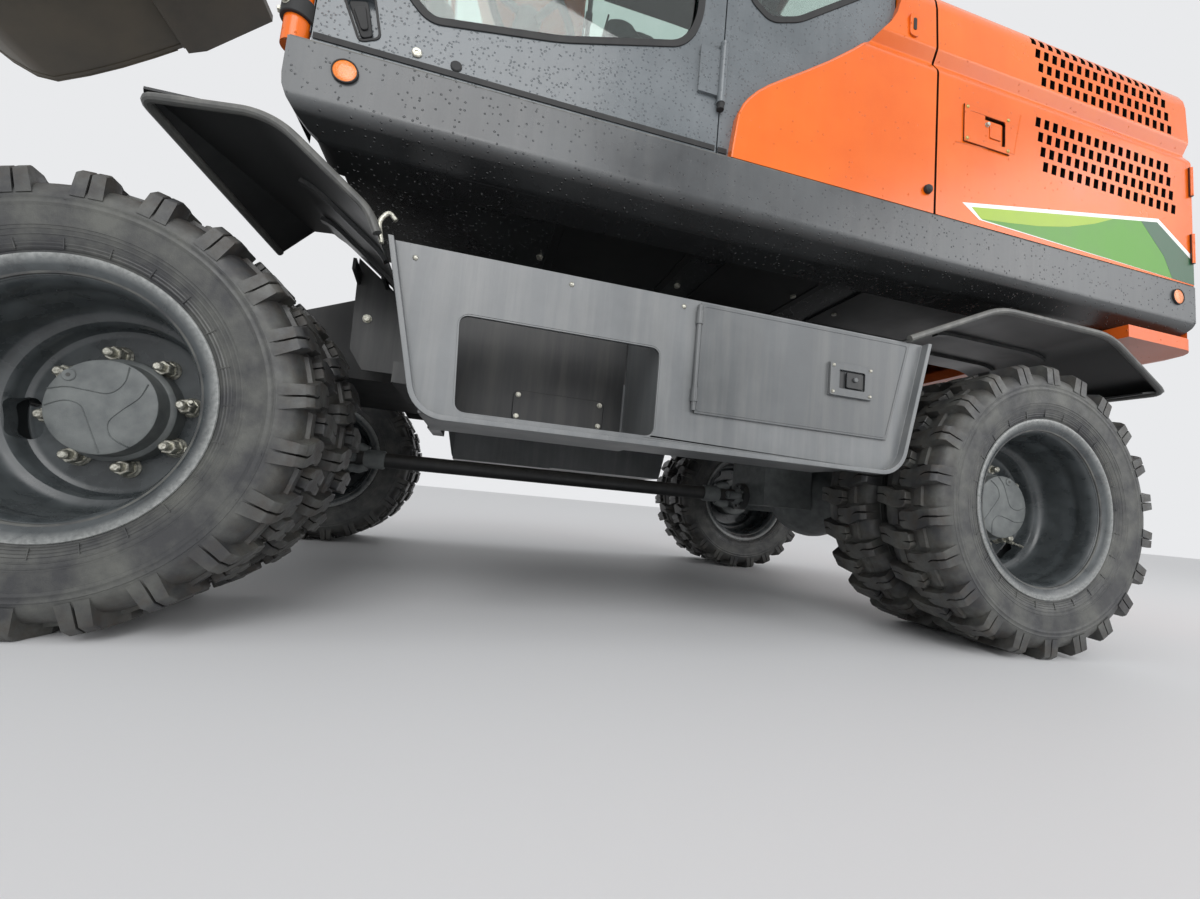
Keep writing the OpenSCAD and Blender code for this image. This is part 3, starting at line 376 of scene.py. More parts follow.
# Painted highlight: the flange's lip from 280 mm out is painted pale, broken up by streaks.
lip_highlight_band = add(tree, "MapRange", (from_axle(tree, spot), 0.272, 0.292))
streak = add(tree, "TexNoise", spot, Scale=95.0, Detail=4.0, Roughness=0.6)
broken = add(tree, "MapRange", (streak, 0.3, 0.7, 0.3, 0.75))
lip_highlight_mask = add(tree, "Math", (lip_highlight_band, broken), operation="MULTIPLY")
coat = add(tree, "Mix", {0: lip_highlight_mask, 6: tone, 7: "#A4A6A4"}, data_type="RGBA")
wet = add(tree, "MapRange", (cloud, 0.35, 0.65, 0.2, 0.4))
film = add(tree, "Bump", Height=streak, Strength=0.05, Distance=0.001)
add(tree, "OutputMaterial", add(tree, "BsdfPrincipled", Base_Color=coat.outputs[2], Roughness=wet, Normal=film,
                                IOR=1.5))

# Zinc-plated forged fasteners, dulled pale by weather.
zinc_steel, tree, spot = new_material("dull_zinc_plate")
speck = add(tree, "TexNoise", spot, Scale=180.0, Detail=4.0, Roughness=0.6)
tone = add(tree, "ValToRGB", speck, stops=((0.35, "#8E8C80"), (0.65, "#D6D5CA")))
dull = add(tree, "MapRange", (speck, 0.3, 0.7, 0.3, 0.52))
add(tree, "OutputMaterial", add(tree, "BsdfPrincipled", Base_Color=tone, Roughness=dull, Metallic=0.85))

# Sand-cast iron under thin grey paint: pitted, matt and blotched.
cast_paint, tree, spot = new_material("painted_sand_casting")
blotch = add(tree, "TexNoise", spot, Scale=22.0, Detail=5.0, Roughness=0.55)
tone = add(tree, "ValToRGB", blotch, stops=((0.3, "#565A5B"), (0.72, "#707473")))
sand = add(tree, "TexNoise", spot, Scale=340.0, Detail=3.0)
pits = add(tree, "Bump", Height=sand, Strength=0.35, Distance=0.0012)
add(tree, "OutputMaterial", add(tree, "BsdfPrincipled", Base_Color=tone, Normal=pits, Roughness=0.52, IOR=1.5))

rim_profile = [
    (0.254, 0.0845), (0.262, 0.0915), (0.276, 0.096), (0.288, 0.0975), (0.2935, 0.0985), (0.2955, 0.101),
    (0.294, 0.1038), (0.2895, 0.1045), (0.28, 0.102), (0.269, 0.0965), (0.26, 0.09), (0.253, 0.082), (0.2478, 0.074),
    (0.2455, 0.06), (0.2452, 0.035), (0.247, 0.03), (0.247, 0.015), (0.244, 0.008), (0.242, -0.03), (0.2405, -0.056),
    (0.237, -0.07), (0.23, -0.079), (0.221, -0.083), (0.213, -0.086), (0.2075, -0.093), (0.205, -0.103),
    (0.2035, -0.115), (0.199, -0.123), (0.192, -0.127), (0.184, -0.128), (0.09, -0.128), (0.09, -0.14),
    (0.186, -0.14), (0.199, -0.1375), (0.209, -0.129), (0.215, -0.116), (0.2175, -0.103), (0.226, -0.096),
    (0.248, -0.095), (0.27, -0.099), (0.29, -0.1045), (0.295, -0.101), (0.29, -0.0975), (0.27, -0.094),
    (0.254, -0.0845)
]
bm = bmesh.new()
lathe(bm, rim_profile, 128, closed=True)
rim_piece = make_piece("rim_pattern", bm, [wheel_enamel], sharp=28)
# Two oval hand holes go through the dish, opposite each other.
hand_hole = -78
bm = bmesh.new()
for a in (hand_hole, hand_hole + 180):
    turn = turned(a, "Y")
    outline = []
    for end in (0.027, -0.027):
        for i in range(9):
            t = math.radians((-90 if end > 0 else 90) + 180 * i / 8)
            outline.append((end + 0.023 * math.cos(t), 0.187 + 0.023 * math.sin(t)))
    bridge(bm, [[bm.verts.new(turn @ Vector((x, y, z))) for x, z in outline] for y in (-0.17, -0.06)])
cutter = make_piece("hand_holes", bm, [])
cut = rim_piece.modifiers.new("hand_holes", "BOOLEAN")
cut.operation, cut.object, cut.solver = "DIFFERENCE", cutter, "EXACT"


def final_mesh(piece):
    """A new mesh of what a piece's modifiers make of it."""
    bpy.context.view_layer.update()
    return bpy.data.meshes.new_from_object(piece.evaluated_get(bpy.context.evaluated_depsgraph_get()))


rim_mesh = final_mesh(rim_piece)
rim_mesh.name = "rim"
rim_mesh.polygons.foreach_set("use_smooth", [True] * len(rim_mesh.polygons))
rim_mesh.set_sharp_from_angle(angle=math.radians(30))
bpy.data.objects.remove(rim_piece)
bpy.data.objects.remove(cutter)


def prism(bm, sides, radius, y0, y1, centre=(0, 0), turn=0.0, chamfer=0.0, material=0, where=None):
    """An upright prism along Y with a chamfered outer edge, such as a nut or a bolt head."""
    first = len(bm.verts)
    ways = [math.radians(turn + 360 * i / sides) for i in range(sides)]
    bridge(bm, [
        [bm.verts.new((centre[0] + r * math.sin(a), y, centre[1] + r * math.cos(a))) for a in ways]
        for y, r in ((y0, radius), (y1 - chamfer, radius), (y1, radius - chamfer))
    ], material=material)
    if where:
        put(bm, first, where)


# The outer face of a hub, seen in the dish: studs, nuts on conical washers,
# two small set bolts and the cast cap with its parting lines and plug.
studs, stud_circle = 8, 0.1375
bm = bmesh.new()
face_y = -0.128
for i in range(studs):
    a = math.radians(12 + 360 / studs * i)
    at = (stud_circle * math.sin(a), stud_circle * math.cos(a))
    prism(bm, 20, 0.0245, face_y - 0.001, face_y + 0.009, at, chamfer=0.006)
    prism(bm, 20, 0.0205, face_y + 0.008, face_y + 0.013, at, chamfer=0.002)
    prism(bm, 6, 0.0187, face_y + 0.012, face_y + 0.036, at, turn=17 * i, chamfer=0.0022)
    prism(bm, 16, 0.0108, face_y + 0.03, face_y + 0.057, at, chamfer=0.0035)
for a in (62, 242):
    at = (0.165 * math.sin(math.radians(a)), 0.165 * math.cos(math.radians(a)))
    prism(bm, 6, 0.0105, face_y - 0.001, face_y + 0.011, at, turn=a, chamfer=0.0015)
stud_mesh = to_mesh("stud_pattern", bm, [zinc_steel], 24)
bm = bmesh.new()
lathe(bm, [
    (0.0, -0.041), (0.04, -0.0408), (0.085, -0.0412), (0.106, -0.042), (0.109, -0.0435), (0.11, -0.0465),
    (0.1105, -0.08), (0.1125, -0.085), (0.12, -0.088), (0.123, -0.092), (0.1235, -0.113), (0.125, -0.129)
], 96)
prism(bm, 28, 0.0135, -0.043, -0.0385, (0.07, 0.064), chamfer=0.0012)
prism(bm, 16, 0.0045, -0.0395, -0.0378, (0.07, 0.064), material=1)


def bend(*marks, steps=7):
    """Points of a smooth curve through the marks."""
    out = []
    last = len(marks) - 1
    for i in range(last):
        p0, p1, p2, p3 = (Vector(marks[max(0, min(last, k))]) for k in (i - 1, i, i + 1, i + 2))
        for s in range(steps):
            t = s / steps
            line, square, cube = p2 - p0, 2 * p0 - 5 * p1 + 4 * p2 - p3, 3 * p1 - p0 - 3 * p2 + p3
            out.append(tuple(0.5 * (2 * p1 + line * t + square * t * t + cube * t ** 3)))
    return [*out, tuple(marks[-1])]


def casting_line(bm, *marks, width=0.0022, height=0.0024, y=-0.0412):
    """A thin raised line where two parts of the mould met, along a bent path through (x, z) marks."""
    points = bend(*marks)
    rows = []
    for i, (x, z) in enumerate(points):
        x0, z0 = points[max(0, i - 1)]
        x1, z1 = points[min(len(points) - 1, i + 1)]
        n = Vector((z0 - z1, x1 - x0)).normalized() * width
        row = (x - n.x, y - 0.001, z - n.y), (x, y + height, z), (x + n.x, y - 0.001, z + n.y)
        rows.append([bm.verts.new(p) for p in row])
    bridge(bm, rows, False, False)


casting_line(bm, (-0.04, 0.098), (-0.036, 0.06), (-0.012, 0.033), (0.03, 0.034), (0.07, 0.037), (0.104, 0.028))
casting_line(bm, (-0.082, 0.064), (-0.07, 0.03), (-0.04, -0.004), (-0.02, -0.034), (-0.03, -0.066), (-0.066, -0.086))
casting_line(bm, (0.104, -0.01), (0.07, 0.006), (0.04, 0.0), (0.026, -0.022), (0.008, -0.06), (-0.012, -0.104))
hub_mesh = to_mesh("hub_pattern", bm, [cast_paint, rubber], 34)
# The valve stem of each outer tyre reaches out through a hand hole.
bm = bmesh.new()
lathe(bm, [(0.0, -0.052), (0.0042, -0.052), (0.0046, -0.066), (0.0036, -0.067), (0.0036, -0.082), (0.0062, -0.083),
           (0.0062, -0.13), (0.0, -0.13)], 14)
valve_mesh = to_mesh("valve_pattern", bm, [zinc_steel], 30)

for end, side in wheel_ends:
    centre, out_way = wheel_places[end, side]
    body, wheel = f"wheels_{end}_{side}", f"{end}_{side}"
    flip = turned(0 if side == "left" else 180, "Z")
    spin = turned(0 if end == "front" else -64, "Y")
    out_at = Matrix.Translation(centre + Vector((0, out_way * outer_y, 0))) @ flip @ spin
    in_at = Matrix.Translation(centre + Vector((0, out_way * inner_y, 0))) @ flip @ turned(180, "Z") @ spin
    valve_at = out_at @ turned(hand_hole, "Y") @ Matrix.Translation((0, 0, 0.193)) @ turned(24, "X")
    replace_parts(place_piece(f"rim_{wheel}_outer", rim_mesh, out_at, body), f"rims_{wheel}")
    place_piece(f"rim_{wheel}_inner", rim_mesh, in_at, body)
    place_piece(f"studs_{wheel}", stud_mesh, out_at, body)
    place_piece(f"hub_{wheel}", hub_mesh, out_at, body)
    place_piece(f"valve_{wheel}", valve_mesh, valve_at, body)
    # The hub's drum behind the discs carries both wheels.
    bm = bmesh.new()
    lathe(bm, [(0.0, -0.141), (0.128, -0.141), (0.13, -0.24), (0.122, -0.246), (0.07, -0.246), (0.0, -0.246)], 48)
    place_piece(f"drum_{wheel}", to_mesh(f"drum_{wheel}", bm, [cast_paint]), out_at, body)

# ---- Axles, knuckles and steering gear ----
# Sand-cast axle housings and knuckles in thin grey-black paint, a hard chromed
# steering rod, and a black drive shaft between two universal joints with
# forged yokes and bolted flanges.

joints = {j["name"]: j for j in frame["joints"]}
swing_x = joints["slew"]["pos_m"][0]


def dress(node, material, soften=0.0015, angle=32.0):
    """Finishes a CAD node: one material, welded corners and a small round on its sharp edges."""
    piece = nodes[node]
    piece.data.materials.clear()
    piece.data.materials.append(material)
    piece.data.polygons.foreach_set("material_index", [0] * len(piece.data.polygons))
    piece.data.polygons.foreach_set("use_smooth", [True] * len(piece.data.polygons))
    weld = piece.modifiers.new("weld", "WELD")
    weld.merge_threshold = 0.00002
    if soften:
        edge = piece.modifiers.new("soft_edges", "BEVEL")
        edge.width, edge.segments, edge.limit_method = soften, 2, "ANGLE"
        edge.angle_limit = math.radians(angle)
        edge.use_clamp_overlap = True
    shade = piece.modifiers.new("shade", "WEIGHTED_NORMAL")
    shade.keep_sharp = False
    shade.weight = 80
    return piece


# Hard chrome on ground steel: bright, with a very fine drawn line along it.
hard_chrome, tree, spot = new_material("hard_chrome")
lines = add(tree, "TexNoise", spot, Scale=240.0, Detail=3.0)
shine = add(tree, "MapRange", (lines, 0.3, 0.7, 0.08, 0.2))
tint = add(tree, "ValToRGB", lines, stops=((0.0, "#BFC2C6"), (1.0, "#DADCDF")))
add(tree, "OutputMaterial", add(tree, "BsdfPrincipled", Base_Color=tint, Roughness=shine, Metallic=1.0))


def painted_steel(name, dark, light, gloss=(0.34, 0.52), beads=0.0, runs=0.2, dust=0.25, dust_colour="#77726A",
                  coat=0.0, under=1.0, holes=False):
    """Paint on sheet steel. The tone drifts, rain leaves run marks and beads, and dust settles on what faces up.

    Beads of water are 3 to 5 mm wide and sit about 8 mm apart, drawn a little coarser so
    that they show. Faces that look down get painted shade: their tone is multiplied by
    the value of under. The walls of holes through a side panel get painted shade, near black.
    """
    material, tree, spot = new_material(name)
    drift = add(tree, "TexNoise", spot, Scale=2.4, Detail=7.0, Roughness=0.58)
    tone = add(tree, "ValToRGB", drift, stops=((0.34, dark), (0.68, light)))
    squeeze = add(tree, "Mapping", spot, Scale=(26.0, 26.0, 1.7))
    marks = add(tree, "TexNoise", squeeze, Scale=1.0, Detail=6.0, Roughness=0.62)
    run = add(tree, "MapRange", (marks, 0.44, 0.76, 0.0, runs))
    lie = add(tree, "NewGeometry")
    up = add(tree, "SeparateXYZ", lie.outputs["Normal"])
    # Water runs only on walls, so the marks fade out on roofs and floors.
    slope = add(tree, "Math", up.outputs["Z"], operation="ABSOLUTE")
    wall = add(tree, "MapRange", (slope, 0.35, 0.75, 1.0, 0.0))
    wall_run = add(tree, "Math", (run, wall), operation="MULTIPLY")
    pale = add(tree, "Mix", {0: wall_run, 6: tone, 7: dust_colour}, data_type="RGBA")
    flat = add(tree, "MapRange", (up.outputs["Z"], 0.15, 0.95, 0.0, dust))
    motes = add(tree, "TexNoise", spot, Scale=55.0, Detail=6.0, Roughness=0.7)
    thick = add(tree, "MapRange", (motes, 0.32, 0.62, 0.25, 1.0))
    settled = add(tree, "Math", (flat, thick), operation="MULTIPLY")
    coloured = add(tree, "Mix", {0: settled, 6: pale.outputs[2], 7: dust_colour}, data_type="RGBA")
    # Painted shade: faces that look down are darkened by the factor under.
    if under < 1.0:
        underside_shade = add(tree, "MapRange", (up.outputs["Z"], -0.1, -0.75, 1.0, under))
        shaded_underside = add(tree, "HueSaturation", Color=coloured.outputs[2], Value=underside_shade)
    shine = add(tree, "MapRange", (drift, 0.3, 0.7, gloss[0], gloss[1]))
    # Orange peel of about 4 mm, as a sprayed coat dries.
    peel = add(tree, "TexNoise", spot, Scale=240.0, Detail=1.0)
    skin_wave = add(tree, "Bump", Height=peel, Strength=0.06, Distance=0.0015)
    last, rough = skin_wave.outputs[0], shine.outputs[0]
    colour = shaded_underside.outputs[0] if under < 1.0 else coloured.outputs[2]
    # Painted shade: faces that stand edge-on across the panel, such as the walls of its holes, go near black.
    if holes:
        across = add(tree, "SeparateXYZ", spot.node.outputs["Normal"])
        lean = add(tree, "Math", across.outputs["Y"], operation="ABSOLUTE")
        hole_wall_shade = add(tree, "MapRange", (lean, 0.25, 0.5, 1.0, 0.0))
        hole_walls_shaded = add(tree, "Mix", {0: hole_wall_shade, 6: colour, 7: "#1C1816"}, data_type="RGBA")
        colour = hole_walls_shaded.outputs[2]
    if beads:
        cells = add(tree, "TexVoronoi", spot, Scale=100.0)
        chance = add(tree, "SeparateColor", cells.outputs["Color"])
        there = add(tree, "Math", (chance, beads), operation="LESS_THAN")
        dome = add(tree, "MapRange", (cells, 0.34, 0.1), interpolation_type="SMOOTHSTEP")
        bead = add(tree, "Math", (dome, there), operation="MULTIPLY")
        drop = add(tree, "Bump", Height=bead, Normal=last, Strength=0.9, Distance=0.0026)
        wet = add(tree, "Mix", {0: bead, 2: rough, 3: 0.06}, data_type="FLOAT")
        last, rough = drop.outputs[0], wet.outputs[0]
    add(tree, "OutputMaterial", add(tree, "BsdfPrincipled", Base_Color=colour, Roughness=rough, Normal=last, IOR=1.5,
                                    Coat_Weight=coat, Coat_Roughness=0.08))
    return material


chassis_paint = painted_steel("black_chassis_paint", "#151617", "#242627", (0.4, 0.62), runs=0.08, dust=0.35,
                              under=0.45)
for node in ("front_axle", "rear_axle", "knuckle_left", "knuckle_right"):
    dress(node, cast_paint, 0.004)
dress("steering_rod", hard_chrome, 0.001)
dress("drive_shaft", chassis_paint, 0.003)

shaft_low, shaft_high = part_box("drive_shaft")
shaft_z = (shaft_low.z + shaft_high.z) / 2


def bolt(bm, at, way, af=0.019, turn=0.0, washer=True, material=0):
    """A hexagon bolt head with its washer, af across the flats."""
    where = facing(at, way)
    if washer:
        prism(bm, 20, af * 0.68, -0.001, af * 0.14, chamfer=af * 0.04, material=material, where=where)
    prism(bm, 6, af * 0.577, af * 0.1, af * 0.62, (0, 0), turn, af * 0.07, material, where)


def tube(bm, points, radius, sides=12, caps=True, material=0):
    """A round bar or pipe along a path."""
    points = [Vector(p) for p in points]
    rings, side = [], None
    for i, p in enumerate(points):
        ahead = (points[min(i + 1, len(points) - 1)] - points[max(i - 1, 0)]).normalized()
        side = ahead.orthogonal().normalized() if side is None else (side - ahead * side.dot(ahead)).normalized()
        up = ahead.cross(side)
        ways = [math.tau * k / sides for k in range(sides)]
        rings.append([bm.verts.new(p + (side * math.cos(a) + up * math.sin(a)) * radius) for a in ways])
    bridge(bm, rings, caps=caps, material=material)


def softened(points, radius, steps=5):
    """A bent path whose corners are rounded."""
    points = [Vector(p) for p in points]
    out = [points[0]]
    for before, corner, after in zip(points, points[1:], points[2:]):
        reach = min(radius, (before - corner).length * 0.48, (after - corner).length * 0.48)
        one, two = corner + (before - corner).normalized() * reach, corner + (after - corner).normalized() * reach
        for i in range(steps + 1):
            t = i / steps
            out.append(one.lerp(corner, t).lerp(corner.lerp(two, t), t))
    return [*out, points[-1]]


def circle(radius, count, start=0.0):
    """Points spread round a circle, the first of them `start` steps on."""
    ways = [math.tau * (i + start) / count for i in range(count)]
    return [(radius * math.cos(a), radius * math.sin(a)) for a in ways]


# Universal joints at both ends of the shaft, each of two forks and a cross.
bm = bmesh.new()
for x, way in ((shaft_low.x + 0.03, 1), (shaft_high.x - 0.03, -1)):
    flange = facing((x, 0, shaft_z), (way, 0, 0))
    cross = Vector((x + way * 0.075, 0, shaft_z))
    for z, y in circle(0.055, 8, 0.5):
        bolt(bm, (x, y, shaft_z + z), (way, 0, 0), 0.013, washer=False)
    lathe(bm, [(0.0, -0.004), (0.044, -0.004), (0.046, 0.004), (0.044, 0.022), (0.036, 0.03), (0.0, 0.03)], 24,
          flange)
    for fork_x, d in ((x + way * 0.02, Vector((0, 1, 0))), (x + way * 0.13, Vector((0, 0, 1)))):
        tube(bm, [cross - d * 0.056, cross + d * 0.056], 0.017, 16)
        for s in (-1, 1):
            low = Vector((fork_x, 0, shaft_z)) + d * s * 0.034
            high = cross + d * s * 0.046
            tube(bm, [low, low.lerp(high, 0.55) + d * s * 0.008, high, high + (high - low) * 0.22], 0.0205, 14)
    lathe(bm, [(0.0, 0.118), (0.036, 0.118), (0.042, 0.128), (0.042, 0.2), (0.038, 0.206), (0.0, 0.206)], 24, flange)
make_piece("universal_joints", bm, [cast_paint], "chassis")

# ---- Chassis and slewing ring ----
# A welded box of thick plate that tapers at the front, in satin black chassis
# paint, with the machined slewing ring bolted on top of its round seat.

dress("chassis", chassis_paint, 0.003)
dress("towing_lugs", chassis_paint, 0.002)
dress("slew_ring", cast_paint, 0.002)
bm = bmesh.new()
ring_low, ring_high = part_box("slew_ring")
ring_r = (ring_high.x - ring_low.x) / 2 - 0.004
for i, (x, y) in enumerate(circle(ring_r, 36)):
    bolt(bm, (swing_x + x, y, ring_low.z + 0.03), (x, y, 0), 0.024, turn=10 * i, washer=False)
make_piece("ring_bolts", bm, [zinc_steel], "chassis")

# ---- Fenders ----
# Folded sheet steel over both axles, its outer edge rolled round a bar and its
# front or rear end turned down, bolted to two brackets on the chassis.
# Black paint, rubbed grey where the edge is rolled.

fender_paint = painted_steel("black_fender_paint", "#1F2021", "#363839", (0.32, 0.55), runs=0.25, dust=0.4,
                             dust_colour="#6B6A66", under=0.6)
rolled_paint = painted_steel("rubbed_fender_edge", "#3C3D3D", "#626360", (0.3, 0.5), runs=0.5, dust=0.4,
                             dust_colour="#8B8983")
fender_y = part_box("fenders")[1].y
fender_in, sheet_t, roll_r = 0.62, 0.006, 0.011
chassis_side = 0.4003
# The outer edges, as (x, z) from the swing centre: from the front fender's nose
# back to the step box, and from the box back to the rear fender's tail.
front_line = [(1.286, 1.182), (1.03, 1.188), (0.805, 1.013), (0.78, 0.962)]
rear_line = [(-0.775, 0.968), (-1.14, 1.132), (-1.64, 1.127), (-1.921, 0.965)]


def folded(bm, path, y0, y1, thick):
    """A sheet bent along a path of (x, z) points and as wide as y0 to y1."""
    flat = [Vector((x, 0, z)) for x, z in path]
    rows = []
    for i, p in enumerate(flat):
        ahead = (flat[min(i + 1, len(flat) - 1)] - flat[max(i - 1, 0)]).normalized()
        down = Vector((ahead.z, 0, -ahead.x)) * thick
        q = p + down
        rows.append([bm.verts.new(v) for v in ((p.x, y0, p.z), (p.x, y1, p.z), (q.x, y1, q.z), (q.x, y0, q.z))])
    bridge(bm, rows)


def swept(bm, rows, thick):
    """A sheet through rows of points, each row a straight line across it."""
    top = [[bm.verts.new(p) for p in row] for row in rows]
    low = [[bm.verts.new((p[0], p[1], p[2] - thick)) for p in row] for row in rows]
    bridge(bm, top, False, False)
    bridge(bm, low, False, False)
    for k in (0, -1):
        for a, b, c, d in zip(top, top[1:], low, low[1:]):
            bm.faces.new((a[k], b[k], d[k], c[k]))
    for k in (0, -1):
        bridge(bm, [top[k], low[k]], False, False)


def flat_bar(bm, outline, y0, y1):
    """A flat plate or bar: an outline of (x, z) points from the swing centre, between two planes across the machine."""
    bridge(bm, [[bm.verts.new((swing_x + x, y, z)) for x, z in outline] for y in (y0, y1)])


def both_sides(bm):
    """Yields 1 and -1, and mirrors to the right side what the second turn draws."""
    for side in (1, -1):
        first = len(bm.verts)
        yield side
        put(bm, first, mirrored(side))


nose_back, nose_drop = 0.186, 0.1
bm = bmesh.new()
for side in both_sides(bm):
    y_edge = fender_y - roll_r
    for line, nose in ((front_line, 1), (rear_line, -1)):
        bent = [Vector((swing_x + p.x, 0, p.z)) for p in softened([(x, 0, z) for x, z in line], 0.06)]
        end = bent[0] if nose > 0 else bent[-1]
        rows = []
        for p in bent:
            share = max(0.0, 1 - abs(end.x - p.x) / 0.256) if nose > 0 else 0.0
            inner = Vector((p.x - nose_back * share, fender_in, p.z - 0.001))
            rows.append([inner.lerp(Vector((p.x, y_edge, p.z - 0.001)), t / 4) for t in range(5)])
        swept(bm, rows, sheet_t)
        edge = [Vector((p.x, y_edge, p.z - roll_r * 0.5)) for p in (bent if nose > 0 else bent[::-1])]
        # The nose is bent down across the sheet, deeper towards the middle.
        if nose > 0:
            foot = [Vector((end.x - 0.096, fender_in, end.z - nose_drop)),
                    Vector((end.x + 0.004, y_edge - 0.02, end.z - 0.024))]
            head = [Vector((end.x - nose_back, fender_in, end.z - 0.001)), Vector((end.x, y_edge, end.z - 0.001))]
            swept(bm, [[a.lerp(b, t / 6) for t in range(7)] for a, b in (head, foot)], sheet_t)
        else:
            foot = [Vector((end.x + 0.055, fender_in + 0.02, end.z - 0.012)),
                    Vector((end.x + 0.004, y_edge - 0.02, end.z - 0.012))]
            swept(bm, [
                [Vector((end.x, fender_in, end.z - 0.003)), Vector((end.x, y_edge, end.z - 0.003))],
                [Vector((end.x + 0.058, fender_in, end.z - 0.012)),
                 Vector((end.x + 0.058, y_edge - 0.03, end.z - 0.012))],
            ], sheet_t)
        tube(bm, softened([foot[0], foot[1] + Vector((0, 0.018, 0)), *edge[1:]], 0.03), roll_r, 12, material=1)
        # Stiffening ribs under the sheet.
        for y in (fender_in + 0.1, fender_in + 0.3):
            under = [(p.x, p.z - 0.007) for p in bent[3:-2]]
            folded(bm, under[::-1], y, y + 0.024, 0.012)
    # Brackets to the chassis, each a plate with a flange and four bolts.
    for x0, x1, high, low in ((0.85, 0.95, 1.087, 0.98), (-1.25, -1.15, 1.12, 0.99)):
        for x in (x0, x1 - 0.01):
            outline = (
                (chassis_side, low), (0.7, high - 0.045), (0.7, high - (0.06 if 0 < x < 0.86 else 0.008)),
                (chassis_side, high - 0.05)
            )
            bridge(bm, [[bm.verts.new((swing_x + x + dx, y, z)) for y, z in outline] for dx in (0, 0.01)])
        for z in (low + 0.02, low + 0.065):
            bolt(bm, (swing_x + (x0 + x1) / 2, chassis_side, z), (0, 1, 0), 0.024, material=2)
    # A black plate hangs from the front sheet's inner edge down to a square
    # tube that leaves the chassis, and two bolts hold it.
    gusset = [(0.7, 0.735), (0.9, 0.735), (0.945, 0.8), (0.955, 1.118), (0.805, 1.002), (0.785, 0.96), (0.7, 0.95)]
    flat_bar(bm, gusset, 0.606, 0.612)
    flat_bar(bm, [(0.705, 0.672), (0.77, 0.672), (0.77, 0.737), (0.705, 0.737)], chassis_side, 0.8)
    for x, z in ((0.904, 0.911), (0.741, 0.925)):
        bolt(bm, (swing_x + x, 0.612, z), (0, 1, 0), 0.022, material=2)
fender_piece = make_piece("fender_sheets", bm, [fender_paint, rolled_paint, zinc_steel], "chassis",
                          sharp=28)
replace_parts(fender_piece, "fenders")

# ---- Step and tool boxes ----
# Folded 6 mm sheet in mid grey paint with a bar rolled round its outer edge.
# The front half is an open step, the rear half a tool box with a hinged door
# and a paddle latch held by four rivets. Rain has left pale run marks.

box_paint = painted_steel("grey_box_paint", "#5F6264", "#787B7D", (0.26, 0.46), runs=0.22, dust=0.3,
                          dust_colour="#A3A29E", under=0.5)
door_paint = painted_steel("grey_box_door_paint", "#505355", "#65686A", (0.26, 0.46), runs=0.22, dust=0.3,
                           dust_colour="#8D8C88")
# Near-black paint that stands for shade in the step's pocket and in the latch's dish.
box_shade_paint = painted_steel("shaded_box_paint", "#17181A", "#2A2C2D", (0.35, 0.55), runs=0.3, dust=0.35,
                               dust_colour="#5E5C57")
dress("step_boxes", box_paint, 0.0035)
for node in ("step_door_left", "step_door_right"):
    dress(node, door_paint, 0.0018)
box_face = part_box("step_boxes")[1].y


def counter(points):
    """The points of a loop, running against the clock."""
    area = sum(a[0] * b[1] - b[0] * a[1] for a, b in zip(points, points[1:] + points[:1]))
    return list(points) if area > 0 else list(points)[::-1]


def cut_plate(bm, outlines, thick, where, edge=0.0, material=0):
    """A flat plate with holes and rounded edges. Its first outline is the rim and the others are holes."""
    curve = bpy.data.curves.new("outline", "CURVE")
    curve.dimensions, curve.fill_mode = "2D", "BOTH"
    curve.extrude, curve.offset = thick / 2 - edge, -edge
    curve.bevel_depth, curve.bevel_resolution = edge, 2
    for i, points in enumerate(outlines):
        line = counter(points) if i == 0 else counter(points)[::-1]
        spline = curve.splines.new("POLY")
        spline.points.add(len(line) - 1)
        for p, (x, y) in zip(spline.points, line):
            p.co = (x, y, 0, 1)
        spline.use_cyclic_u = True
    holder = bpy.data.objects.new("outline", curve)
    bpy.context.scene.collection.objects.link(holder)
    mesh = final_mesh(holder)
    mesh.transform(where)
    faces = len(bm.faces)
    bm.from_mesh(mesh)
    bm.faces.ensure_lookup_table()
    for f in bm.faces[faces:]:
        f.material_index = material
    bpy.data.objects.remove(holder)
    bpy.data.curves.remove(curve)
    bpy.data.meshes.remove(mesh)


def loop(points, radius, steps=6):
    """A closed outline with rounded corners."""
    points = [Vector((*p, 0)) for p in points]
    out = []
    for i, corner in enumerate(points):
        before, after = points[i - 1], points[(i + 1) % len(points)]
        r = radius[i] if isinstance(radius, (list, tuple)) else radius
        reach = min(r, (before - corner).length * 0.49, (after - corner).length * 0.49)
        if reach < 0.0005:
            out.append((corner.x, corner.y))
            continue
        one, two = corner + (before - corner).normalized() * reach, corner + (after - corner).normalized() * reach
        for k in range(steps + 1):
            t = k / steps
            p = one.lerp(corner, t).lerp(corner.lerp(two, t), t)
            out.append((p.x, p.y))
    return out


def rect(x0, z0, x1, z1):
    return [(x0, z0), (x1, z0), (x1, z1), (x0, z1)]


def soft_rect(x0, z0, x1, z1, radius, steps=6):
    return loop(rect(x0, z0, x1, z1), radius, steps)


def on_side(y, side=1):
    """Draws x and z from the swing centre on a plane across the machine."""
    return mirrored(side) @ Matrix(((1, 0, 0, swing_x), (0, 0, -1, y), (0, 1, 0, 0), (0, 0, 0, 1)))


def rivet(bm, at, way, radius=0.006, material=0):
    """A domed rivet head."""
    profile = [(0.0, 0.0045), (radius * 0.5, 0.004), (radius * 0.86, 0.0022), (radius, 0.0), (0.0, -0.001)]
    lathe(bm, profile, 14, facing(at, way), material=material)


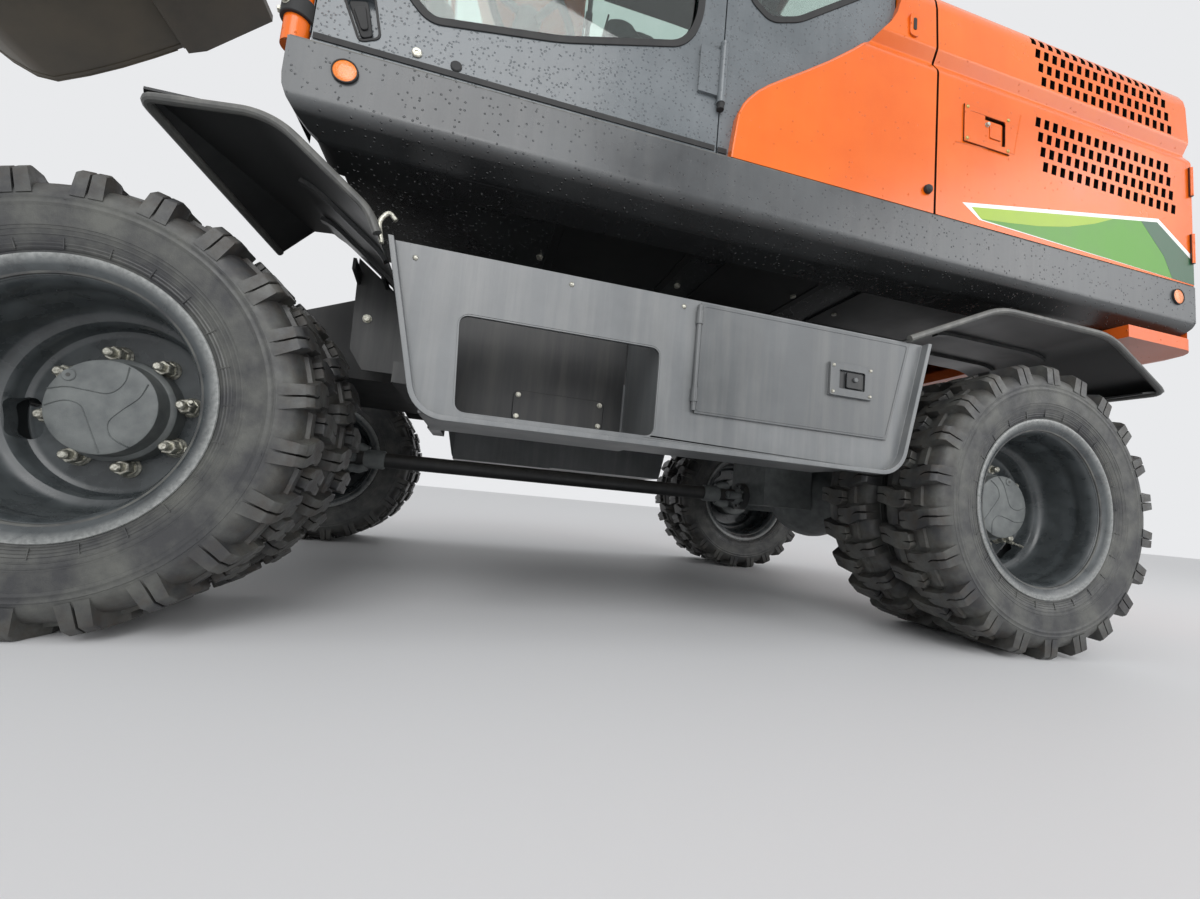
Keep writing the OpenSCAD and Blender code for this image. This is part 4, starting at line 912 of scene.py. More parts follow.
for side, name in ((1, "left"), (-1, "right")):
    body = "step_door_" + name
    face, hinge_y = box_face - 0.017, 1.1616
    bm = bmesh.new()
    # Latch: a raised frame, a sunk dish, the paddle with its lock, rivets; dish and paddle in painted shade, near
    # black.
    cut_plate(bm, [soft_rect(-0.64, 0.745, -0.49, 0.845, 0.008), soft_rect(-0.612, 0.768, -0.52, 0.824, 0.006)],
              0.0034, on_side(face + 0.0092, side), 0.001)
    cut_plate(bm, [soft_rect(-0.606, 0.772, -0.548, 0.82, 0.006)], 0.007, on_side(face + 0.0065, side), 0.002, 1)
    cut_plate(bm, [soft_rect(-0.546, 0.77, -0.521, 0.822, 0.004)], 0.002, on_side(face + 0.002, side), 0.0005, 1)
    lathe(bm, [(0.0, 0.006), (0.006, 0.006), (0.0075, 0.004), (0.0075, 0.0), (0.0, 0.0)], 18,
          facing((swing_x - 0.577, side * (face + 0.0098), 0.799), (0, side, 0)))
    for x in (-0.63, -0.5):
        for z in (0.755, 0.835):
            rivet(bm, (swing_x + x, side * (face + 0.0109), z), (0, side, 0), 0.0056, 2)
    make_piece("tool_box_latch_" + name, bm, [door_paint, box_shade_paint, zinc_steel], body)
    # Hinge knuckles on the box and a pressed lip round the door.
    bm = bmesh.new()
    for z in (0.665, 0.885):
        tube(bm, [(swing_x - 0.066, side * hinge_y, z), (swing_x - 0.066, side * hinge_y, z + 0.038)], 0.0098, 14)
    door_line = [(-0.074, 0.942), (-0.776, 0.942), (-0.703, 0.64), (-0.074, 0.64)]
    inner_line = [(-0.078, 0.938), (-0.771, 0.938), (-0.7, 0.644), (-0.078, 0.644)]
    cut_plate(bm, [loop(door_line, 0.01), loop(inner_line, 0.01)], 0.0016, on_side(face + 0.0006, side), 0.0004)
    make_piece("tool_box_door_lip_" + name, bm, [door_paint], body)

# The step's tread: a pierced plate with raised teeth, and the folded rim of the opening.
step_floor, pocket_back = 0.5506, 0.807
bm = bmesh.new()
for side in both_sides(bm):
    at = [(0.085 + 0.062 * i, 0.85 + 0.064 * k) for i in range(9) for k in range(5)]
    holes = [[(cx + x, cy + y) for x, y in circle(0.017, 12)] for cx, cy in at]
    cut_plate(bm, [soft_rect(0.045, 0.812, 0.622, 1.14, 0.01), *holes], 0.0022,
              Matrix.Translation((swing_x, 0, step_floor + 0.0011)))
    for cx, cy in at:
        tooth = [(0.0172, 0.0), (0.0185, 0.0), (0.0172, 0.0045), (0.016, 0.0045), (0.016, 0.0)]
        lathe(bm, tooth, 12, facing((swing_x + cx, cy, step_floor + 0.0022), (0, 0, 1)))
    # Painted shade: a near-black sheet on the pocket's back and its rear wall, and the bracket bolted to it.
    cut_plate(bm, [soft_rect(0.037, 0.556, 0.632, 0.925, 0.004)], 0.0016, on_side(pocket_back + 0.0005), 0.0, 1)
    cut_plate(bm, [soft_rect(0.1, 0.6, 0.4, 0.7, 0.02)], 0.006, on_side(pocket_back + 0.0035), 0.002, 1)
    for x, z in ((0.115, 0.615), (0.385, 0.615), (0.115, 0.685), (0.385, 0.685)):
        bolt(bm, (swing_x + x, pocket_back + 0.0065, z), (0, 1, 0), 0.013, material=2)
    window_loop = loop([(0.575, 0.803), (0.036, 0.803), (0.036, 0.552), (0.56, 0.552)], 0.03)
    inner_loop = loop([(0.571, 0.7995), (0.0395, 0.7995), (0.0395, 0.556), (0.5565, 0.556)], 0.027)
    cut_plate(bm, [window_loop, inner_loop], 0.012, on_side(1.147))
make_piece("step_treads", bm, [box_paint, box_shade_paint, zinc_steel], "chassis")

# Bolts and the small hook bracket at the box's front top corner.
bm = bmesh.new()
for side in both_sides(bm):
    for x, z in ((0.69, 0.92), (0.3, 0.93), (-0.02, 0.93)):
        rivet(bm, (swing_x + x, 1.1545, z), (0, 1, 0), 0.007)
    tube(bm, softened([(swing_x + 0.778, 1.12, 0.955), (swing_x + 0.792, 1.12, 1.01), (swing_x + 0.77, 1.12, 1.04),
                       (swing_x + 0.752, 1.12, 1.02)], 0.02), 0.006, 10)
make_piece("step_box_bolts", bm, [zinc_steel], "chassis")

# ---- Deck and boom foot ----
# A welded deck of thick plate over rolled side skirts, in satin black paint
# that is beaded with rain, with the two foot brackets of the boom and its
# pins. Bolts hold the cover plates on its underside.

deck_paint = painted_steel("wet_black_deck_paint", "#3E4042", "#55585A", (0.2, 0.36), beads=0.25, runs=0.09,
                           dust=0.22, dust_colour="#8B8A87", under=0.25)
dress("upper_frame", deck_paint, 0.004)
panel_y = joints["side_door_left_hinge"]["pos_m"][1] - 0.004

deck_under = 1.25
bm = bmesh.new()
for side in both_sides(bm):
    for x, y in ((0.258, 0.94), (0.091, 0.936), (-0.055, 0.915), (-0.33, 0.93), (-0.615, 0.935), (-0.647, 0.735),
                 (0.52, 0.925), (-1.05, 0.93), (-1.42, 0.92), (0.35, 0.62), (-0.2, 0.62), (-0.9, 0.66)):
        bolt(bm, (swing_x + x, y, deck_under - 0.0002), (0, 0, -1), 0.019, turn=37 * x)
# Pins of the boom foot and of the two boom cylinders, with keeper plates.
for x, z, y in ((0.3, 1.66, 0.19), (0.8, 1.31, 0.2123)):
    for side in (1, -1):
        lathe(bm, [(0.0, 0.012), (0.03, 0.012), (0.034, 0.008), (0.034, 0.0), (0.0, 0.0)], 28,
              facing((swing_x + x, side * (y + 0.0003), z), (0, side, 0)))
make_piece("deck_bolts", bm, [zinc_steel], "upper")

# Cover plates on the underside, each with a lip round an opening.
bm = bmesh.new()
for side in both_sides(bm):
    for x0, x1, y0, y1 in ((-0.7, -0.28, 0.44, 0.9), (-0.16, 0.33, 0.44, 0.9), (-1.55, -0.85, 0.5, 0.9)):
        cut_plate(bm, [soft_rect(x0, y0, x1, y1, 0.03), soft_rect(x0 + 0.03, y0 + 0.03, x1 - 0.03, y1 - 0.03, 0.02)],
                  0.006, Matrix.Translation((swing_x, 0, deck_under - 0.0032)), 0.001)
        cut_plate(bm, [soft_rect(x0 + 0.031, y0 + 0.031, x1 - 0.031, y1 - 0.031, 0.02)], 0.003,
                  Matrix.Translation((swing_x, 0, deck_under - 0.002)), 0.001)
make_piece("deck_covers", bm, [chassis_paint], "upper")

# The skirt's top lip, rubbed pale.
bm = bmesh.new()
for side in (1, -1):
    tube(bm, [(swing_x + 1.036, side * 1.1462, 1.4072), (swing_x - 2.136, side * 1.1462, 1.4072)], 0.0042, 8)
make_piece("skirt_lips", bm, [rolled_paint], "upper")

# ---- Counterweight, hood and body panels ----
# A cast iron counterweight and pressed steel panels in gloss orange enamel. On
# each side a door hinged at the rear with two vents, a sunk paddle latch and
# seams with dark rubber behind. The left side carries a green stripe.

orange_look = {"gloss": (0.16, 0.28), "beads": 0.05, "runs": 0.03, "dust": 0.05, "dust_colour": "#D98A5C",
               "coat": 0.0, "under": 0.6}
orange_enamel = painted_steel("gloss_orange_enamel", "#D95D0C", "#E46B13", **orange_look)
# The side doors' enamel paints the walls of their vents near black, as shade.
door_enamel = painted_steel("gloss_orange_door_enamel", "#D95D0C", "#E46B13", holes=True, **orange_look)
orange_casting = painted_steel("orange_cast_iron", "#D65A18", "#E26821", (0.24, 0.42), beads=0.05, runs=0.05,
                               dust=0.16, dust_colour="#CC9675", under=0.45)
black_rubber = painted_steel("black_rubber", "#141516", "#232425", (0.55, 0.75), runs=0.05, dust=0.2)
dress("counterweight", orange_casting, 0.008)
for node in ("body_panels", "hood_lid"):
    dress(node, orange_enamel, 0.0022)
for node in ("side_door_left", "side_door_right"):
    dress(node, door_enamel, 0.0022)
dress("engine", cast_paint, 0.006)

# Yellow passivated rivets.
brass_rivet, tree, spot = new_material("yellow_zinc_rivets")
cloud = add(tree, "TexNoise", spot, Scale=300.0, Detail=3.0)
tint = add(tree, "ValToRGB", cloud, stops=((0.0, "#9C8344"), (1.0, "#C9B277")))
add(tree, "OutputMaterial", add(tree, "BsdfPrincipled", Base_Color=tint, Metallic=1.0, Roughness=0.34))

bm = bmesh.new()
# The rolled lip of the panel's sweeping front edge.
sweep = [(-0.133, 1.412), (-0.136, 1.45), (-0.147, 1.554), (-0.16, 1.588), (-0.176, 1.612), (-0.204, 1.644),
         (-0.24, 1.675), (-0.3, 1.718), (-0.359, 1.759), (-0.448, 1.824), (-0.536, 1.896), (-0.568, 1.925)]
tube(bm, [(swing_x + x - 0.003, panel_y - 0.0028, z) for x, z in sweep], 0.0042, 8)
# A pressed boss with a key slot.
cut_plate(bm, [soft_rect(-0.793, 2.024, -0.757, 2.112, 0.018, 8)], 0.009, on_side(panel_y - 0.004), 0.002)
make_piece("panel_front_lip", bm, [orange_enamel], "upper")
bm = bmesh.new()
# Painted shade: a near-black plate stands for the dark opening of the key slot.
cut_plate(bm, [soft_rect(-0.7815, 2.046, -0.7685, 2.09, 0.0064, 8)], 0.003, on_side(panel_y + 0.0008), 0.0006)
# The rubber buffer of the side door.
lathe(bm, [(0.0, 0.017), (0.008, 0.016), (0.014, 0.011), (0.016, 0.004), (0.013, 0.0), (0.0, 0.0)], 20,
      facing((swing_x - 0.843, panel_y - 0.0005, 1.487), (0, 1, 0)))
make_piece("panel_rubbers", bm, [black_rubber], "upper")

for side, name in ((1, "left"), (-1, "right")):
    body = "side_door_" + name
    face = panel_y + 0.005
    bm = bmesh.new()
    cut_plate(bm, [soft_rect(-1.19, 1.701, -0.988, 1.839, 0.012), soft_rect(-1.168, 1.723, -1.01, 1.817, 0.008)],
              0.004, on_side(face - 0.0008, side), 0.0015)
    cut_plate(bm, [soft_rect(-1.164, 1.729, -1.082, 1.811, 0.007)], 0.007, on_side(face - 0.01, side), 0.002)
    cut_plate(bm, [soft_rect(-1.155, 1.745, -1.105, 1.795, 0.006)], 0.006, on_side(face - 0.006, side), 0.002)
    # The pressed crease that runs up from the latch.
    tube(bm, [(swing_x - 0.955, side * (panel_y - 0.0035), 1.69), (swing_x - 1.215, side * (panel_y - 0.0035), 1.715),
              (swing_x - 1.245, side * (panel_y - 0.0035), 1.872)], 0.005, 8)
    make_piece("hood_latch_" + name, bm, [orange_enamel], body)
    bm = bmesh.new()
    for x in (-1.179, -0.999):
        for z in (1.712, 1.828):
            rivet(bm, (swing_x + x, side * (face + 0.001), z), (0, side, 0), 0.0068)
    bolt(bm, (swing_x - 1.094, side * (face - 0.0067), 1.792), (0, side, 0), 0.013, material=1)
    make_piece("hood_latch_rivets_" + name, bm, [brass_rivet, zinc_steel], body)
    # Dark cooler core behind the vents, folded into fins.
    bm = bmesh.new()
    core_x, core_y, fin = swing_x - 1.245, 1.07, 0.0065
    rows = []
    for i in range(131):
        y = side * (core_y - 0.006 * (i % 2))
        rows.append([bm.verts.new((core_x - i * fin, y, z)) for z in (1.655, 2.235)])
    bridge(bm, rows, False, False)
    for z in (1.7, 1.83, 1.96, 2.09, 2.2):
        tube(bm, [(core_x, side * (core_y + 0.0005), z), (core_x - 130 * fin, side * (core_y + 0.0005), z)], 0.006, 6)
    make_piece("cooler_core_" + name, bm, [chassis_paint], body)

# The stripe: thin printed film, white at its border, greens inside.
for name, dark, light, shape, lift in (
    ("film_white", "#E6E7E4", "#F2F2EF", [(-0.991, 1.48), (-1.94, 1.645), (-2.1335, 1.5305), (-2.1335, 1.4165),
                                          (-1.065, 1.4345)], 0.0003),
    ("film_leaf_green", "#3F7F0C", "#4C9012", [(-1.03, 1.4725), (-1.932, 1.629), (-2.1335, 1.5085), (-2.1335, 1.4165),
                                               (-1.078, 1.438)], 0.0006),
    ("film_yellow_green", "#8AA81C", "#9BB826", [(-1.03, 1.4725), (-1.3, 1.519), (-1.56, 1.564), (-1.7, 1.588),
                                                 (-1.6, 1.545), (-1.47, 1.503), (-1.33, 1.473), (-1.19, 1.453),
                                                 (-1.072, 1.4395)], 0.0009),
    ("film_dark_green", "#1D482B", "#275639", [(-1.845, 1.6135), (-1.932, 1.629), (-2.1335, 1.5085),
                                               (-2.1335, 1.4165), (-2.01, 1.4185), (-1.965, 1.5)], 0.0009),
):
    film = painted_steel(name, dark, light, (0.26, 0.38), runs=0.04, dust=0.05)
    bm = bmesh.new()
    cut_plate(bm, [shape], 0.0004, on_side(panel_y + lift))
    make_piece(name, bm, [film], "side_door_left")

# ---- Tank, tool box and exhaust ----
# Folded steel boxes on the right of the deck, a filler cap with its lock, and
# a black tail pipe with a rain flap.

dress("fuel_tank", deck_paint, 0.006)
dress("exhaust", chassis_paint, 0.002)
tank_low, tank_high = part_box("fuel_tank")
pipe_low, pipe_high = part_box("exhaust")
bm = bmesh.new()
lathe(bm, [(0.0, 0.046), (0.05, 0.046), (0.058, 0.04), (0.06, 0.01), (0.072, 0.008), (0.074, 0.0), (0.0, 0.0)], 32,
      facing((swing_x - 0.2, -0.8, tank_high.z), (0, 0, 1)))
cover_x, cover_y = swing_x + 0.25, -0.75
for x, y in circle(0.085, 10):
    bolt(bm, (cover_x + x, cover_y + y, tank_high.z), (0, 0, 1), 0.013)
lathe(bm, [(0.0, 0.012), (0.095, 0.012), (0.1, 0.008), (0.1, 0.0), (0.0, 0.0)], 36,
      facing((cover_x, cover_y, tank_high.z), (0, 0, 1)))
cut_plate(bm, [soft_rect(0.6, 1.45, 0.92, 1.73, 0.02), soft_rect(0.606, 1.456, 0.914, 1.724, 0.016)], 0.003,
          on_side(-tank_low.y - 0.001, -1), 0.001)
cut_plate(bm, [soft_rect(0.72, 1.66, 0.8, 1.71, 0.008)], 0.008, on_side(-tank_low.y + 0.001, -1), 0.002)
make_piece("tank_fittings", bm, [deck_paint], "upper")
bm = bmesh.new()
middle = (pipe_low + pipe_high) / 2
lathe(bm, [(0.0, 0.004), (0.058, 0.004), (0.06, 0.002), (0.06, 0.0), (0.0, -0.001)], 30,
      facing((middle.x + 0.006, middle.y, pipe_high.z + 0.01), (-0.35, 0, 1)))
tube(bm, [(middle.x + 0.055, middle.y - 0.03, pipe_high.z + 0.003),
          (middle.x + 0.055, middle.y + 0.03, pipe_high.z + 0.003)], 0.007, 10)
for z in (0.1, 0.22):
    ring = [(middle.x + x, middle.y + y, pipe_low.z + z) for x, y in circle(0.0525, 32)]
    tube(bm, [*ring, ring[0]], 0.0035, 8)
make_piece("exhaust_flap", bm, [zinc_steel], "upper")

# ---- Cab ----
# A welded shell and a door of pressed steel in slate grey enamel, with drops
# of rain on it. Tinted safety glass sits in black rubber profiles. The door
# has a sunk handle, a lock, a plug and two bolted hinges.

cab_enamel = painted_steel("slate_cab_enamel", "#555B5F", "#696F73", (0.2, 0.36), beads=0.75, runs=0.05, dust=0.1,
                           dust_colour="#A5A9AC", coat=0.2)
# Laminated glass with a faint green tint.
glass, tree, spot = new_material("tinted_safety_glass")
film = add(tree, "TexNoise", spot, Scale=7.0, Detail=5.0)
tint = add(tree, "ValToRGB", film, stops=((0.0, "#D5E6DF"), (1.0, "#E4F0EB")))
shine = add(tree, "MapRange", (film, 0.3, 0.7, 0.0, 0.04))
add(tree, "OutputMaterial", add(tree, "BsdfPrincipled", Base_Color=tint, Roughness=shine, IOR=1.52,
                                Transmission_Weight=1.0))

dress("cab_shell", cab_enamel, 0.006)
dress("cab_door", cab_enamel, 0.003)
dress("cab_glass", glass, 0.0)
dress("door_glass", glass, 0.0)
shell_low, shell_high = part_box("cab_shell")
cab_side = shell_high.y
door_side = cab_side + 0.002


def grown(points, out_by):
    """A closed outline moved outward by a width."""
    line = counter(points)
    made = []
    for i, (x, y) in enumerate(line):
        (ax, ay), (bx, by) = line[i - 1], line[(i + 1) % len(line)]
        one, two = Vector((x - ax, y - ay)), Vector((bx - x, by - y))
        if one.length < 1e-7 or two.length < 1e-7:
            continue
        one.normalize()
        two.normalize()
        n = Vector((one.y + two.y, -one.x - two.x))
        n *= out_by / max(0.3, n.dot(Vector((one.y, -one.x))))
        made.append((x + n.x, y + n.y))
    return made


door_window = loop([(0.94, 2.25), (0.835, 2.88), (-0.03, 2.88), (-0.011, 1.86), (0.01, 1.79), (0.047, 1.745),
                    (0.397, 1.64), (0.736, 1.58), (0.8, 1.64)],
                   [0.04, 0.04, 0.04, 0.04, 0.04, 0.04, 0.04, 0.03, 0.04])
rear_window = loop([(-0.18, 1.98), (-0.25, 1.93), (-0.35, 1.965), (-0.6, 2.15), (-0.62, 2.88), (-0.18, 2.88)], 0.03)
handle_dish = loop([(0.944, 1.575), (0.894, 1.465), (0.849, 1.488), (0.876, 1.599)], 0.014)
door_rim = [(1.002, 1.422), (0.998, 2.25), (0.85, 2.96), (-0.095, 2.96), (-0.095, 1.422)]
bm = bmesh.new()
cut_plate(bm, [grown(door_window, 0.013), grown(door_window, -0.009)], 0.005, on_side(door_side + 0.0012), 0.0018)
cut_plate(bm, [grown(handle_dish, 0.004), grown(handle_dish, -0.002)], 0.004, on_side(door_side + 0.0008), 0.001)
# Painted shade: a thin black strip along the door's foot stands for the shadow in the gap above the deck.
cut_plate(bm, [rect(-0.089, 1.438, 0.998, 1.454)], 0.004, on_side(door_side + 0.0012))
make_piece("door_window_rubber", bm, [black_rubber], "cab_door")
bm = bmesh.new()
cut_plate(bm, [grown(rear_window, 0.012), grown(rear_window, -0.009)], 0.005, on_side(cab_side + 0.0012), 0.0018)
# Painted shade: the same black strip carries on along the shell behind the door.
cut_plate(bm, [rect(-0.13, 1.438, -0.101, 1.454)], 0.004, on_side(cab_side + 0.0012))
rim = [Vector((swing_x + x, 1.098, z)) for x, z in grown(loop(door_rim, 0.02), 0.0026)]
tube(bm, [*rim, rim[0]], 0.0021, 6, caps=False)
# Windscreen profile: it follows the leaning front of the cab.
front_rows = [(1.0065, 1.62), (1.003, 2.25), (0.843, 2.96)]
y0, y1 = shell_low.y + 0.07, cab_side - 0.07
path = [(swing_x + x + 0.002, y0, z) for x, z in front_rows]
path += [(swing_x + x + 0.002, y1, z) for x, z in front_rows[::-1]]
ring = softened([*path, path[0]], 0.03)
tube(bm, [*ring, ring[1]], 0.009, 8, caps=False)
make_piece("cab_window_rubbers", bm, [black_rubber], "upper")

# Handle paddle, lock barrel, plug and the hinge barrels with their pins.
bm = bmesh.new()
cut_plate(bm, [loop([(0.935, 1.57), (0.893, 1.48), (0.868, 1.492), (0.89, 1.584)], 0.01)], 0.007,
          on_side(door_side - 0.0085), 0.002)
cut_plate(bm, [loop([(0.921, 1.553), (0.895, 1.498), (0.879, 1.505), (0.893, 1.566)], 0.008)], 0.006,
          on_side(door_side - 0.0035), 0.002)
lathe(bm, [(0.0, 0.004), (0.012, 0.004), (0.015, 0.002), (0.015, -0.001), (0.0, -0.001)], 24,
      facing((swing_x + 0.659, door_side, 1.471), (0, 1, 0)))
hinge_x, hinge_y = swing_x - 0.095, cab_side + 0.0123
for z in (1.588, 2.5):
    tube(bm, [(hinge_x, hinge_y, z - 0.004), (hinge_x, hinge_y, z + 0.194)], 0.0132, 16, material=1)
    tube(bm, [(hinge_x, hinge_y, z - 0.024), (hinge_x, hinge_y, z - 0.004)], 0.011, 16)
make_piece("door_handle", bm, [black_rubber, cab_enamel], "cab_door")
bm = bmesh.new()
lathe(bm, [(0.0, 0.0035), (0.004, 0.0035), (0.0046, 0.005), (0.0105, 0.0055), (0.013, 0.003), (0.013, -0.001),
           (0.0, -0.001)], 24, facing((swing_x + 0.758, door_side, 1.477), (0, 1, 0)))
make_piece("door_lock", bm, [zinc_steel], "cab_door")

# Wiper, rain gutter and the roof hatch.
bm = bmesh.new()
wy = shell_low.y + 0.16
lathe(bm, [(0.0, 0.04), (0.014, 0.04), (0.018, 0.034), (0.02, 0.0), (0.0, 0.0)], 20,
      facing((swing_x + 1.007, wy, 1.56), (1, 0, 0)))
tube(bm, softened([(swing_x + 1.04, wy, 1.56), (swing_x + 1.04, wy + 0.02, 1.66), (swing_x + 1.024, wy + 0.09, 2.08)],
                  0.05), 0.0055, 8)
tube(bm, [(swing_x + 1.02, wy + 0.08, 1.78), (swing_x + 1.018, wy + 0.1, 2.235)], 0.006, 6)
gutter = [(-0.6, 2.985), (0.795, 2.985), (0.862, 2.93), (0.9985, 2.32)]
tube(bm, softened([(swing_x + x, cab_side + 0.004, z) for x, z in gutter], 0.04), 0.006, 8)
hatch = Matrix.Translation((swing_x - 0.02, (shell_low.y + cab_side) / 2, shell_high.z + 0.01))
cut_plate(bm, [soft_rect(-0.34, -0.26, 0.34, 0.26, 0.06)], 0.024, hatch, 0.008)
for k in (-0.16, 0.0, 0.16):
    cut_plate(bm, [soft_rect(-0.27, k - 0.014, 0.27, k + 0.014, 0.012)], 0.01,
              hatch @ Matrix.Translation((0, 0, 0.012)), 0.004)
make_piece("cab_fittings", bm, [black_rubber], "upper")

# ---- Rails and the round post at the cab's corner ----
# Bent steel tube in orange enamel. A black clamp with two bolts holds the
# post at the cab's front corner.

dress("rails", orange_enamel, 0.002)
bm = bmesh.new()
post = Vector((swing_x + 1.04, cab_side - 0.01, 0))
for z in (1.475, 2.18):
    lathe(bm, [(0.0302, 0.0), (0.037, 0.0), (0.039, 0.002), (0.039, 0.046), (0.037, 0.048), (0.0302, 0.048)], 32,
          facing((post.x, post.y, z), (0, 0, 1)), closed=True)
    cut_plate(bm, [soft_rect(0.02, z + 0.002, 0.078, z + 0.046, 0.006)], 0.01,
              Matrix(((0, 0, -1, post.x - 0.033), (-1, 0, 0, post.y + 0.03), (0, 1, 0, 0), (0, 0, 0, 1))), 0.002)
    for x, y, way in ((0.018, 0.034, (0.4, 1, 0)), (0.038, 0.0, (1, 0, 0))):
        bolt(bm, (post.x + x, post.y + y, z + 0.024), way, 0.015, material=1)
lathe(bm, [(0.0, 0.01), (0.022, 0.009), (0.03, 0.003), (0.0305, 0.0), (0.0, 0.0)], 28,
      facing((post.x, post.y, 2.3103), (0, 0, 1)))
make_piece("post_clamps", bm, [black_rubber, zinc_steel], "upper")

# ---- Seat ----
# A sprung seat in woven black cloth: a cushion, a back and a headrest, each a
# crowned pad with piped seams and two sewn channels, on a steel frame.

seat_cloth, tree, spot = new_material("woven_black_cloth")
# A plain weave of 2 mm, drawn coarser than the real 0.6 mm so that it can be seen.
warp = add(tree, "TexWave", spot, Scale=80.0, bands_direction="Y")
weft = add(tree, "TexWave", spot, Scale=80.0, bands_direction="Z")
weave = add(tree, "Math", (warp.outputs["Fac"], weft.outputs["Fac"]), operation="ADD")
tint = add(tree, "ValToRGB", weave, stops=((0.0, "#1B1C1D"), (1.0, "#323436")))
thread = add(tree, "Bump", Height=weave, Strength=0.35, Distance=0.0006)
add(tree, "OutputMaterial", add(tree, "BsdfPrincipled", Base_Color=tint, Normal=thread, Roughness=0.85,
                                Sheen_Weight=0.3))

seat_low, seat_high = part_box("seat")
seat_y = (seat_low.y + seat_high.y) / 2
# Half the width of a sewn channel, and the room left at each side for the swell.
channel, room = 0.016, 0.012


def pad(name, outline, half, cap):
    """A padded piece from its side outline: swollen as cloth over foam, with two channels sewn across it."""
    bm = bmesh.new()
    cut_plate(bm, [grown(loop(outline, 0.03), -0.01)], 2 * half - 2 * room, on_side(seat_y), 0.01)
    piece = make_piece(name, bm, [seat_cloth])
    remesh = piece.modifiers.new("remesh", "REMESH")
    remesh.mode, remesh.voxel_size = "VOXEL", 0.006
    solid = final_mesh(piece)
    piece.modifiers.clear()
    piece.data = solid
    rest = [v.co.copy() for v in solid.vertices]
    cloth = piece.modifiers.new("cloth", "CLOTH")
    cloth.settings.use_pressure = True
    cloth.settings.uniform_pressure_force = 4.0
    cloth.settings.effector_weights.gravity = 0
    cloth.settings.quality = 5
    scene = bpy.context.scene
    cloth.point_cache.frame_start, cloth.point_cache.frame_end = 1, 20
    for i in range(1, 21):
        scene.frame_set(i)
    puffed = final_mesh(piece)
    piece.modifiers.clear()
    scene.frame_set(1)
    for v, start in zip(puffed.vertices, rest):
        move = v.co - start
        if move.length > cap:
            v.co = start + move.normalized() * cap
    piece.data = puffed
    # The pad stays inside the room that its solid takes, and two channels are sewn across it.
    lows = [min(p[k] for p in rest) for k in range(3)]
    highs = [max(p[k] for p in rest) for k in range(3)]
    middle = [(a + b) / 2 for a, b in zip(lows, highs)]
    for v in piece.data.vertices:
        off = (v.co.y - seat_y) / half
        for line in (-0.42, 0.42):
            near = abs(off - line) * half
            if near < channel:
                sink = 0.007 * (1 - near / channel) ** 2
                pull = Vector((middle[0] - v.co.x, 0, middle[2] - v.co.z))
                v.co += pull.normalized() * sink
        v.co.y = max(seat_y - half, min(seat_y + half, v.co.y))
    piece.data.materials.clear()
    piece.data.materials.append(seat_cloth)
    piece.data.polygons.foreach_set("use_smooth", [True] * len(piece.data.polygons))
    smooth = piece.modifiers.new("smooth", "SUBSURF")
    smooth.levels = smooth.render_levels = 1
    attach(piece, "upper")
    return piece


pads = [
    pad("seat_cushion", [(-0.25, 1.853), (-0.25, 1.95), (0.2, 1.983), (0.26, 1.96), (0.25, 1.853)], 0.236, 0.022),
    pad("seat_back", [(-0.264, 1.96), (-0.38, 2.48), (-0.36, 2.556), (-0.298, 2.556), (-0.264, 2.47),
                      (-0.192, 2.14), (-0.164, 1.985)], 0.226, 0.022),
    pad("headrest", [(-0.374, 2.566), (-0.398, 2.698), (-0.332, 2.727), (-0.294, 2.69), (-0.302, 2.566)], 0.137, 0.016)
]
for piece in pads:
    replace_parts(piece, "seat")
bm = bmesh.new()
for x, z, half in ((0.235, 1.968, 0.215), (-0.19, 2.2, 0.205), (-0.364, 2.545, 0.2)):
    tube(bm, [(swing_x + x, seat_y - half, z), (swing_x + x, seat_y + half, z)], 0.0032, 8)
for y in (-0.06, 0.06):
    tube(bm, [(swing_x - 0.335, seat_y + y, 2.5), (swing_x - 0.342, seat_y + y, 2.6)], 0.006, 10)
make_piece("seat_piping", bm, [seat_cloth], "upper")

# ---- Cab floor, consoles and steering wheel ----
# Moulded black plastic consoles with short levers in rubber boots, a steering
# column with a three-spoked wheel, and a ribbed rubber mat.

console_plastic = painted_steel("black_moulded_plastic", "#202223", "#2C2E30", (0.48, 0.66), runs=0.02, dust=0.25)
dress("cab_controls", console_plastic, 0.006)
bm = bmesh.new()
console_z, mat_z = 2.06, 1.459
for y in (seat_y - 0.3, seat_y + 0.3):
    lathe(bm, [(0.0185, 0.062), (0.026, 0.055), (0.022, 0.048), (0.032, 0.04), (0.027, 0.033), (0.04, 0.024),
               (0.034, 0.016), (0.048, 0.004), (0.05, 0.0), (0.0185, 0.0)], 24,
               facing((swing_x + 0.21, y, console_z + 0.0002), (0, 0, 1)), closed=True)
    lathe(bm, [(0.0, 0.072), (0.018, 0.069), (0.027, 0.058), (0.029, 0.04), (0.023, 0.018), (0.0185, 0.0),
               (0.0, 0.0)], 20, facing((swing_x + 0.21, y, console_z + 0.138), (0, 0, 1)))
    for k in range(3):
        cut_plate(bm, [soft_rect(-0.02, -0.012, 0.02, 0.012, 0.004)], 0.006,
                  Matrix.Translation((swing_x + 0.02 + 0.055 * k, y, console_z + 0.002)), 0.002)
for k in range(15):
    x = 0.3 + 0.022 * k
    tube(bm, [(swing_x + x, y, mat_z) for y in (seat_y - 0.3, seat_y + 0.3)], 0.004, 6)
make_piece("cab_levers", bm, [black_rubber], "upper")

# ---- Lamps and reflectors ----
# Round amber reflectors in black bezels on the deck's skirt, two work lamps on
# the roof's front and an amber beacon behind them.

# Amber acrylic, moulded with a field of small prisms.
amber, tree, spot = new_material("amber_reflector")
prisms = add(tree, "TexVoronoi", spot, Scale=420.0)
tint = add(tree, "ValToRGB", prisms, stops=((0.0, "#F28A1E"), (1.0, "#D9660B")))
facet = add(tree, "Bump", Height=prisms, Strength=0.4, Distance=0.001)
add(tree, "OutputMaterial", add(tree, "BsdfPrincipled", Base_Color=tint, Normal=facet, Roughness=0.12, IOR=1.49,
                                Coat_Weight=0.6))
